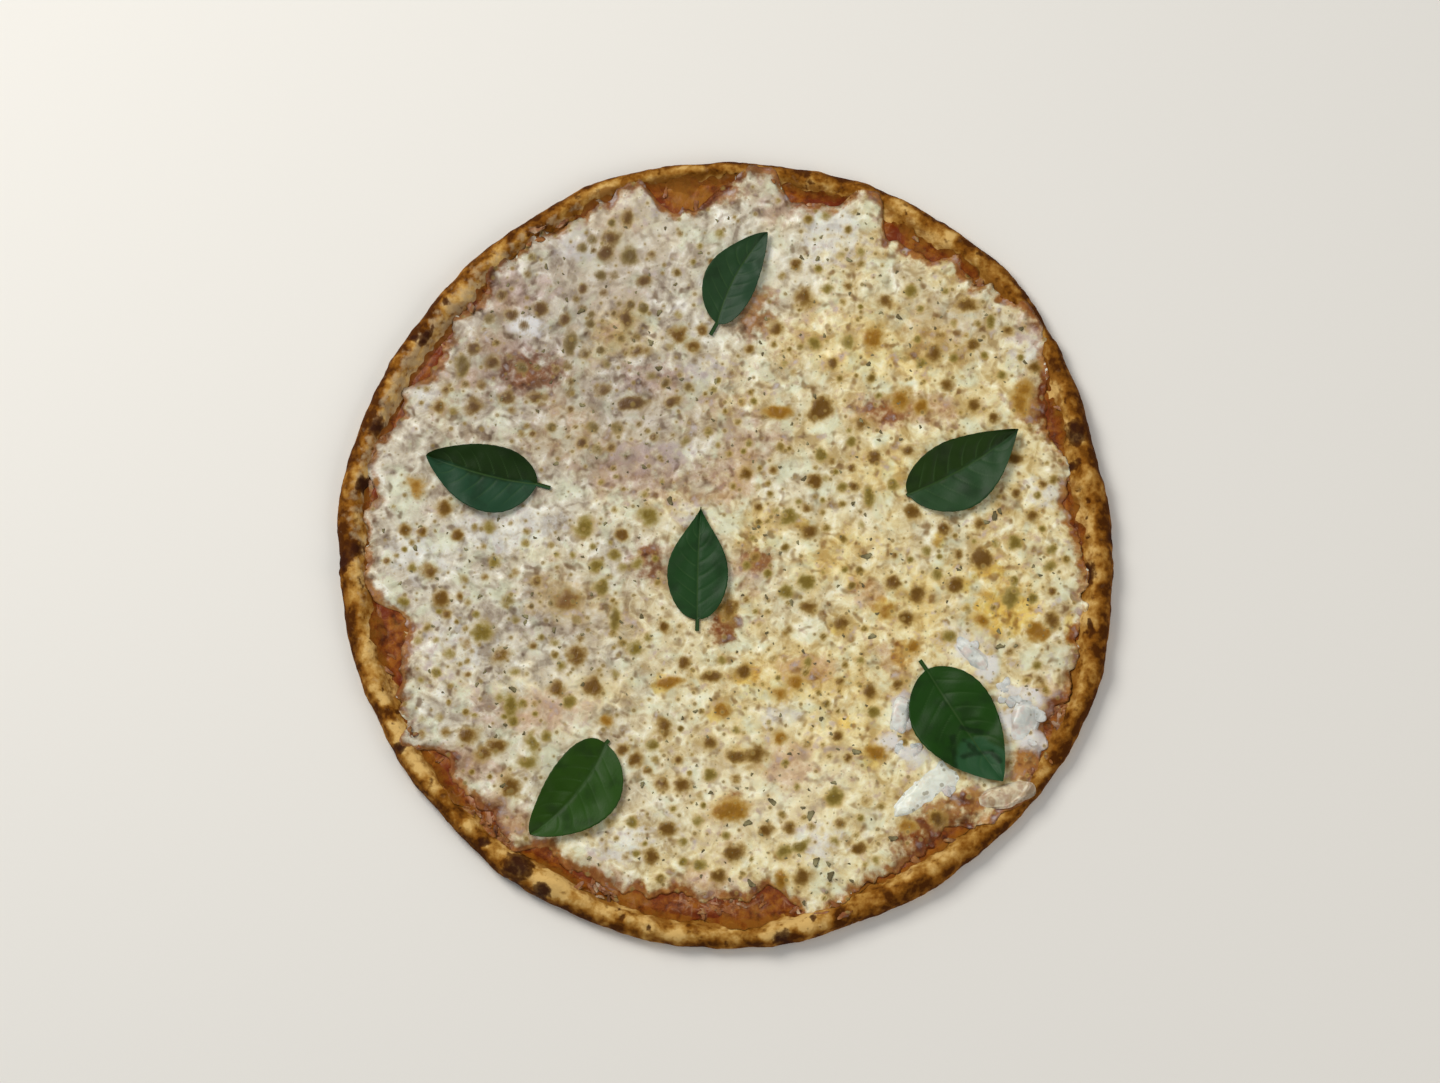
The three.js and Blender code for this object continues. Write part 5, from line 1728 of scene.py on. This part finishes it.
@dataclass(frozen=True)
class Blade:
    """One basil leaf: a thin wavy blade with embossed veins, and its stalk.

    A place on the blade is a share of its length and a side, from -1 at its right edge to 1.
    """

    form: PizzaForm
    leaf: Leaf
    thickness: float = 0.45
    clearance: float = 0.6
    stalk_width: float = 1.7
    stations: int = 84
    stalk_stations: int = 12
    stalk_end: float = -0.004
    halves: int = 20
    vein_count: int = 7
    vein_sweep: float = 0.2
    crease_width: float = 1.5
    quilt: Bumps = Bumps(6, 151)
    quilt_height: float = 0.35

    def half_width(self, share: Array) -> Array:
        """Half the leaf's width at a share of the blade's length, or half the stalk's before it."""
        inside = np.clip(share, 0, 1)
        fullness = lerp(self.leaf.base, self.leaf.tip, inside)
        blade = np.where(share <= 0, 0, np.sin(math.pi * inside**0.75).clip(0) ** fullness)
        return np.maximum(self.leaf.width / 2 * blade, self.stalk_width / 2 * (1 - 0.7 * inside))

    def veins(self, share: Array, side: Array) -> Array:
        """Strength of the side veins, which leave the midrib and bow towards the tip."""
        origin = share - self.vein_sweep * np.abs(side) ** 1.3
        phase = (origin * (self.vein_count + 1) + 0.25 * (side > 0)) % 1
        line = bell(np.minimum(phase, 1 - phase), 0.09)
        inside = smooth(share, 0.03, 0.12) * smooth(1 - share, 0.03, 0.15)
        return line * inside * smooth(np.abs(side), 0.02, 0.1) * (1 - 0.75 * np.abs(side) ** 3)

    def crumple(self, share: Array, side: Array) -> Array:
        """Strength of the sharp creases where the blade crumpled, 1 along their lines."""
        along, across = share * self.leaf.length, side * self.half_width(share)
        total = np.zeros_like(share)
        for first, first_across, last, last_across in self.leaf.creases:
            run, rise = (last - first) * self.leaf.length, last_across - first_across
            dx, dy = along - first * self.leaf.length, across - first_across
            step = np.clip((dx * run + dy * rise) / (run**2 + rise**2), 0, 1)
            off = np.hypot(dx - step * run, dy - step * rise)
            total = np.maximum(total, bell(off, self.crease_width))
        return total

    def build(self) -> Piece:
        """Builds and dresses the leaf."""
        leaf = self.leaf
        stalk = np.linspace(-leaf.stalk / leaf.length, self.stalk_end, self.stalk_stations)
        shares = np.concatenate([stalk, np.linspace(0, 1, self.stations)])
        sides = np.linspace(-1, 1, 2 * self.halves + 1)
        share, side = (grid.ravel() for grid in np.meshgrid(shares, sides, indexing="ij"))
        lower, upper = self.surface(share, side, 0.0), self.surface(share, side, self.thickness)
        points, count, across = np.concatenate([upper, lower]), len(share), len(sides)
        grid = np.arange(count).reshape(len(shares), across)
        a, b, c, d = (part.ravel() for part in (grid[:-1, :-1], grid[1:, :-1], grid[1:, 1:], grid[:-1, 1:]))
        faces = np.stack([a, b, c, d], axis=1).tolist()
        faces += (np.stack([a, d, c, b], axis=1) + count).tolist()
        loop = np.concatenate([grid[:, 0], grid[-1, 1:], grid[-2::-1, -1], grid[0, -2:0:-1]])
        following = np.roll(loop, -1)
        faces += np.stack([loop, loop + count, following + count, following], axis=1).tolist()
        share, side = np.tile(np.stack([share, side]), 2)
        off_rib = side * self.half_width(share)
        fields = {
            "side": side, "reach": share - 0.0016 * (off_rib + 3) ** 2,
            "vein": self.veins(share, side), "crease": self.crumple(share, side),
            "rib": bell(off_rib, 0.45) * smooth(1 - share, 0, 0.3),
            "under": np.repeat([0, 1], count),
        }
        finish = BasilLeaf(leaf.name.replace("leaf", "blade"), leaf.left, leaf.right, leaf.sheen_from)
        piece = make_piece(f"{leaf.name}_blade", points, faces, finish.material(), fields)
        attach(piece, BODY)
        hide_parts(leaf.name)
        return piece

    def surface(self, share: Array, side: Array, rise: float) -> Array:
        """Gives the places of one face of the leaf.

        Args:
            share: Share of the blade's length, below 0 on the stalk.
            side: Place across the leaf, from -1 to 1.
            rise: Height above the lower face.

        Returns:
            The places.
        """
        leaf, inside = self.leaf, np.clip(share, 0, 1)
        lifting = np.sin(math.pi * inside).clip(0) ** 0.5
        ripple = (1 + np.sin(2 * math.pi * 1.6 * share + 2 * side + leaf.x)) / 2
        lift = lifting * (leaf.fold * np.abs(side) + leaf.wave * side**2 * ripple)
        lift = lift + leaf.curl * smooth(share, 0.7, 1)
        quilt = self.quilt_height * (1 - self.veins(share, side)) * (1 - np.abs(side) ** 2)
        quilt = lifting * (quilt + self.quilt_height * self.quilt.over(share * leaf.length, side * 12))
        groove = 0.35 * bell(side * self.half_width(share), 0.7) * (share > 0)
        bow = 4 * leaf.bend * inside * (1 - inside)
        notch = 1 + 0.005 * np.sin(share * 90) * (np.abs(side) > 0.95)
        across = side * self.half_width(share) * (1 + leaf.lean * side) * notch + bow
        dx, dy = polar(leaf.turn, 1)
        along = share * leaf.length
        x, y = leaf.x + along * dx - across * dy, leaf.y + along * dy + across * dx
        groove = groove + 0.2 * self.crumple(share, side)
        z = self.form.cheese_top(x, y) + self.clearance + lift + rise + quilt - groove
        return np.stack([x, y, z], axis=1)


@dataclass(frozen=True)
class Crumbs:
    """Small torn lumps of one kind, set on given places by Geometry Nodes.

    A lump's `width` is a share of its length. `roundness` is its ball's number of subdivisions.
    """

    name: str
    material: Material
    slot: str
    width: float
    thickness: float
    tilt: float = 0.3
    raggedness: float = 0.7
    roundness: int = 2
    seed: int = 23

    def tree(self) -> bpy.types.NodeTree:
        """Builds the nodes that set a turned and tilted lump on every point.

        Returns:
            The node group, with inputs for the points, the lumps' sizes and the seed.
        """
        tree = bpy.data.node_groups.new(self.name, "GeometryNodeTree")
        for name, kind in (("Geometry", "NodeSocketGeometry"), ("Thickness", "NodeSocketFloat"),
                           ("Width", "NodeSocketFloat"), ("Seed", "NodeSocketInt")):
            tree.interface.new_socket(name, in_out="INPUT", socket_type=kind)
        tree.interface.new_socket("Geometry", in_out="OUTPUT", socket_type="NodeSocketGeometry")
        graph = Graph(tree)
        graph.add("NodeGroupInput")
        entry = tree.nodes[0].outputs
        size = graph.add("GeometryNodeInputNamedAttribute", {"Name": "size"}, "Attribute", data_type="FLOAT")
        turn = graph.add("FunctionNodeRandomValue", {
            0: (-self.tilt, -self.tilt, 0.0), 1: (self.tilt, self.tilt, 2 * math.pi), "Seed": entry["Seed"],
        }, 0, data_type="FLOAT_VECTOR")
        ball = graph.add("GeometryNodeMeshIcoSphere", {"Radius": 0.5, "Subdivisions": self.roundness})
        ragged = graph.add(NOISE, {"Scale": 1.7, "Detail": 1.0}, "Color")
        shift = graph.add("ShaderNodeVectorMath", {0: ragged, 1: (0.5, 0.5, 0.5)}, operation="SUBTRACT")
        spread = graph.add("ShaderNodeVectorMath", {0: shift, 1: (self.raggedness,) * 3},
                           operation="MULTIPLY")
        lump = graph.add("GeometryNodeSetPosition", {"Geometry": ball, "Offset": spread})
        wide = graph.add(MATH, {0: size, 1: entry["Width"]}, operation="MULTIPLY")
        scale = graph.add("ShaderNodeCombineXYZ", {"X": size, "Y": wide, "Z": entry["Thickness"]})
        placed = graph.add("GeometryNodeInstanceOnPoints", {
            "Points": entry["Geometry"], "Instance": lump, "Rotation": turn, "Scale": scale,
        })
        real = graph.add("GeometryNodeRealizeInstances", {"Geometry": placed})
        rounded = graph.add("GeometryNodeSetShadeSmooth", {"Geometry": real})
        dressed = graph.add("GeometryNodeSetMaterial", {"Geometry": rounded, "Material": self.material})
        graph.add("NodeGroupOutput", {"Geometry": dressed})
        return tree

    def build(self, points: Array, sizes: Array, fields: dict[str, Array] | None = None) -> Piece:
        """Builds and dresses the lumps as one piece.

        Args:
            points: Middles of the lumps.
            sizes: Their lengths.
            fields: Named values, one for each lump, that the material reads.

        Returns:
            The piece.
        """
        seeds = make_piece(f"{self.name}_places", points, [], self.material,
                           {"size": sizes * MM, **(fields or {})})
        modifier = seeds.modifiers.new("lumps", "NODES")
        modifier.node_group = self.tree()
        values = {"Thickness": self.thickness * MM, "Width": self.width, "Seed": self.seed}
        for item in modifier.node_group.interface.items_tree:
            if item.in_out == "INPUT" and item.name in values:
                modifier[item.identifier] = values[item.name]
        evaluated = seeds.evaluated_get(bpy.context.evaluated_depsgraph_get())
        mesh = bpy.data.meshes.new_from_object(evaluated)
        mesh.name = self.name
        piece = bpy.data.objects.new(self.name, mesh)
        bpy.context.collection.objects.link(piece)
        bpy.data.objects.remove(seeds)
        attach(piece, BODY)
        return piece


@dataclass(frozen=True)
class HerbFlakes:
    """Rubbed dried herbs on the cheese, each flake a small curled plate.

    `notable` gives the places and sizes of the flakes that stand out.
    """

    form: PizzaForm
    large: Scatter = Scatter(23, 60, 12, 2.5)
    fine: Scatter = Scatter(903, 320, 3.4, 0.5)
    thickness: float = 0.3
    width: float = 0.6
    lift: float = 0.22
    notable: tuple = (
        (-77, 125, 2.8), (-61.9, 105.4, 3.4), (-72.2, 38.7, 2.8), (-23.7, 22.4, 3.9), (-28.4, 80.3, 3.2),
        (65.1, 49.4, 2.8), (114.7, 15.5, 4.5), (111.5, 13, 3), (117, 18, 3), (57.9, 56.6, 3.4),
        (52.8, 127.8, 2.8), (39.5, 128.6, 2.8), (-85.1, -31.2, 3.4), (-90.6, -59.7, 3.4), (60.1, -2.1, 4.6),
        (62.3, -36.9, 3.9), (40.6, -72.8, 2.8), (117, -40.9, 3.9), (27.8, -22.4, 3.4), (55.6, -87.1, 3.9),
        (36.1, -114.4, 4.6), (38.4, -134.4, 4.5), (44.5, -140.6, 4.6), (10.5, -144, 4.5), (9.4, -117.8, 3.9),
        (20, -108.7, 4), (71.2, -124.7, 3.9),
    )

    def build(self) -> Piece:
        """Builds and dresses the flakes."""
        flakes = list(self.notable)
        flakes += [(x, y, lerp(1.8, 3.0, draw)) for x, y, draw in self.large.over(self.form)]
        flakes += [(x, y, lerp(1.0, 2.0, draw**1.5)) for x, y, draw in self.fine.over(self.form)]
        x, y, sizes = np.array(flakes).T
        points = np.stack([x, y, self.form.cheese_top(x, y) + self.lift], axis=1)
        crumbs = Crumbs("herb_flakes", DriedHerb().material(), "basil_leaf", self.width, self.thickness,
                        raggedness=1.1)
        return crumbs.build(points, sizes)


@dataclass(frozen=True)
class StrayShreds:
    """Shreds of cheese that melted on the sauce and on the rim's inner slope."""

    form: PizzaForm
    material: Material
    seed: int = 517
    count: int = 45
    length: tuple[float, float] = (3.5, 9.0)
    width: float = 0.36
    thickness: float = 0.45
    sunk: float = 0.04

    def places(self, rng: np.random.Generator) -> tuple[Array, Array]:
        """Draws where the shreds lie: some anywhere along the cheese, and most in the strewn bays.

        Args:
            rng: The seeded draws.

        Returns:
            The shreds' angles and their distances inside the outer edge.
        """
        form = self.form
        angle = rng.uniform(0, FULL_TURN, self.count)
        near = form.cheese_margin_at(angle) + 1.5
        far = np.maximum(np.minimum(form.sauce_margin_at(angle), near - 3), 9)
        inset = lerp(near, far, rng.uniform(0, 1, self.count) ** 1.3)
        angles, insets = [angle], [inset]
        for bay in STREWN:
            angles.append(rng.normal(bay.angle, bay.spread / 2, bay.count))
            insets.append(rng.uniform(bay.first, bay.last, bay.count))
        return np.concatenate(angles), np.concatenate(insets)

    def build(self) -> Piece:
        """Builds and dresses the shreds."""
        rng, form = np.random.default_rng(self.seed), self.form
        angle, inset = self.places(rng)
        count = len(angle)
        x, y = polar(angle, form.outline(angle) - inset)
        seat = np.where(inset > form.sauce_margin_at(angle), form.sauce_top(x, y), form.dough_top(x, y))
        fields = {
            "rose": rng.uniform(0.4, 1.2, count), "milk_and_glint": rng.uniform(-0.5, 0.5, count),
            "warm": rng.uniform(0, 0.8, count), "thin": rng.uniform(0.5, 1.3, count),
            "spot": np.full(count, -1.0), "shred": rng.uniform(0.2, 0.8, count),
        }
        crumbs = Crumbs("stray_shreds", self.material, "melted_cheese", self.width, self.thickness,
                        tilt=0.06, raggedness=1.0, roundness=3, seed=self.seed)
        points = np.stack([x, y, seat - self.sunk], axis=1)
        return crumbs.build(points, rng.uniform(*self.length, count), fields)


@dataclass(frozen=True)
class CurdCrumbs:
    """Crumbs of fresh mozzarella round the larger pieces, and none under the leaf beside them.

    Each patch has its middle, its length and width, its turn and its number of crumbs.
    """

    form: PizzaForm
    material: Material
    beside: str = "basil_leaf_near_right"
    seed: int = 71
    patches: tuple = (
        (104, -43, 30, 14, -42, 5), (120, -62, 18, 18, 60, 6), (127, -74, 30, 18, 72, 6),
        (76, -86, 22, 14, 40, 4), (97, -103, 16, 10, 40, 2),
    )
    length: tuple[float, float] = (4.0, 10.0)
    width: float = 0.6
    thickness: float = 0.7
    lift: float = 0.2

    def build(self) -> Piece:
        """Builds and dresses the crumbs."""
        rng, places = np.random.default_rng(self.seed), []
        for x, y, length, width, turn, count in self.patches:
            ahead, aside = rng.normal(0, length / 4, count), rng.normal(0, width / 4, count)
            c, s = polar(turn, 1)
            places.append(np.stack([x + ahead * c - aside * s, y + ahead * s + aside * c], axis=1))
        x, y = np.concatenate(places).T
        leaf = next(leaf for leaf in LEAVES if leaf.name == self.beside)
        bare = leaf.distance(x, y) > leaf.width * 0.45
        x, y = x[bare], y[bare]
        points = np.stack([x, y, self.form.cheese_top(x, y) + self.lift], axis=1)
        crumbs = Crumbs("mozzarella_crumbs", self.material, "fresh_mozzarella", self.width, self.thickness,
                        tilt=0.1, raggedness=0.35, roundness=3, seed=self.seed)
        return crumbs.build(points, rng.uniform(*self.length, len(x)))


# --- Studio ---


class Lamp(NamedTuple):
    """A soft box: its place and the side of its square in metres, its power in watts, its colour."""

    name: str
    place: tuple[float, float, float]
    side: float
    power: float
    colour: str


@dataclass(frozen=True)
class Studio:
    """Plain pale floor, soft boxes and the camera that looks almost straight down.

    Sizes and places are metres, apart from the lens and the sensor, which are millimetres.
    """

    elevation: float = 78.0
    lens: float = 500.0
    sensor: float = 36.0
    field_width: float = 0.6145
    aim: tuple[float, float, float] = (-0.00235, 0.00484, 0.007)
    floor_side: float = 40.0
    ambient: str = "#DDE2E8"
    ambient_strength: float = 0.42
    lamps: tuple = (
        Lamp("key", (-0.85, 0.75, 1.25), 0.8, 22.0, "#FFFBF4"),
        Lamp("fill", (1.1, -0.6, 1.1), 1.2, 8.0, "#FFF6EA"),
    )

    def build(self) -> None:
        """Builds the floor, the lights and the camera."""
        half = self.floor_side / 2 / MM
        corners = np.array([[-half, -half, 0], [half, -half, 0], [half, half, 0], [-half, half, 0]])
        floor = make_piece("floor", corners, [[0, 1, 2, 3]], PaintedBoard().material())
        self.light()
        camera = bpy.data.objects.new("camera", bpy.data.cameras.new("camera"))
        camera.data.lens, camera.data.sensor_width = self.lens, self.sensor
        distance = self.field_width * self.lens / self.sensor
        tilt = math.radians(self.elevation)
        back = Vector((0, -math.cos(tilt), math.sin(tilt)))
        camera.location = Vector(self.aim) + distance * back
        camera.rotation_euler = back.to_track_quat("Z", "Y").to_euler()
        bpy.context.collection.objects.link(camera)
        bpy.context.scene.camera = camera

    def light(self) -> None:
        """Builds the ambient light and the soft boxes."""
        scene = bpy.context.scene
        scene.view_settings.view_transform = "Standard"
        scene.world = bpy.data.worlds.new("studio")
        scene.world.use_nodes = True
        background = scene.world.node_tree.nodes["Background"]
        background.inputs["Color"].default_value = linear(self.ambient)
        background.inputs["Strength"].default_value = self.ambient_strength
        for lamp in self.lamps:
            data = bpy.data.lights.new(lamp.name, "AREA")
            data.size, data.energy, data.color = lamp.side, lamp.power, linear(lamp.colour)[:3]
            light = bpy.data.objects.new(lamp.name, data)
            light.location = lamp.place
            light.rotation_euler = Vector(lamp.place).to_track_quat("Z", "Y").to_euler()
            bpy.context.collection.objects.link(light)


def main() -> None:
    """Builds every piece in order, then the studio, and notes the sizes."""
    form = PizzaForm()
    melted = MeltedCheese().material()
    cream = FreshMozzarella(speck_reach=0.3).material()
    whey = FreshMozzarella("fresh_mozzarella_whey", "#DEE0D8", "#BEC2BC", "#D2BEB4").material()
    toasted = FreshMozzarella("fresh_mozzarella_toasted", "#DCD0B2", "#B89E7C", "#AC8670").material()
    curd_finishes = {"mozzarella_strip": cream, "mozzarella_curd_rim": toasted}
    makers = (
        Crust(form), SauceLayer(form), CheeseLayer(form, melted), StrayShreds(form, melted),
        *(FreshCurd(form, curd, curd_finishes.get(curd.name, whey)) for curd in CURDS),
        CurdCrumbs(form, whey), *(Blade(form, leaf) for leaf in LEAVES), HerbFlakes(form),
    )
    for maker in makers:
        piece = maker.build()
        size = ", ".join(f"{value / MM:.1f}" for value in piece.dimensions)
        LOG.info("%s: %d faces, %s mm", piece.name, len(piece.data.polygons), size)
    Studio().build()


if __name__ == "__main__":
    logging.basicConfig(level=logging.INFO, format="%(name)s: %(message)s")
    main()
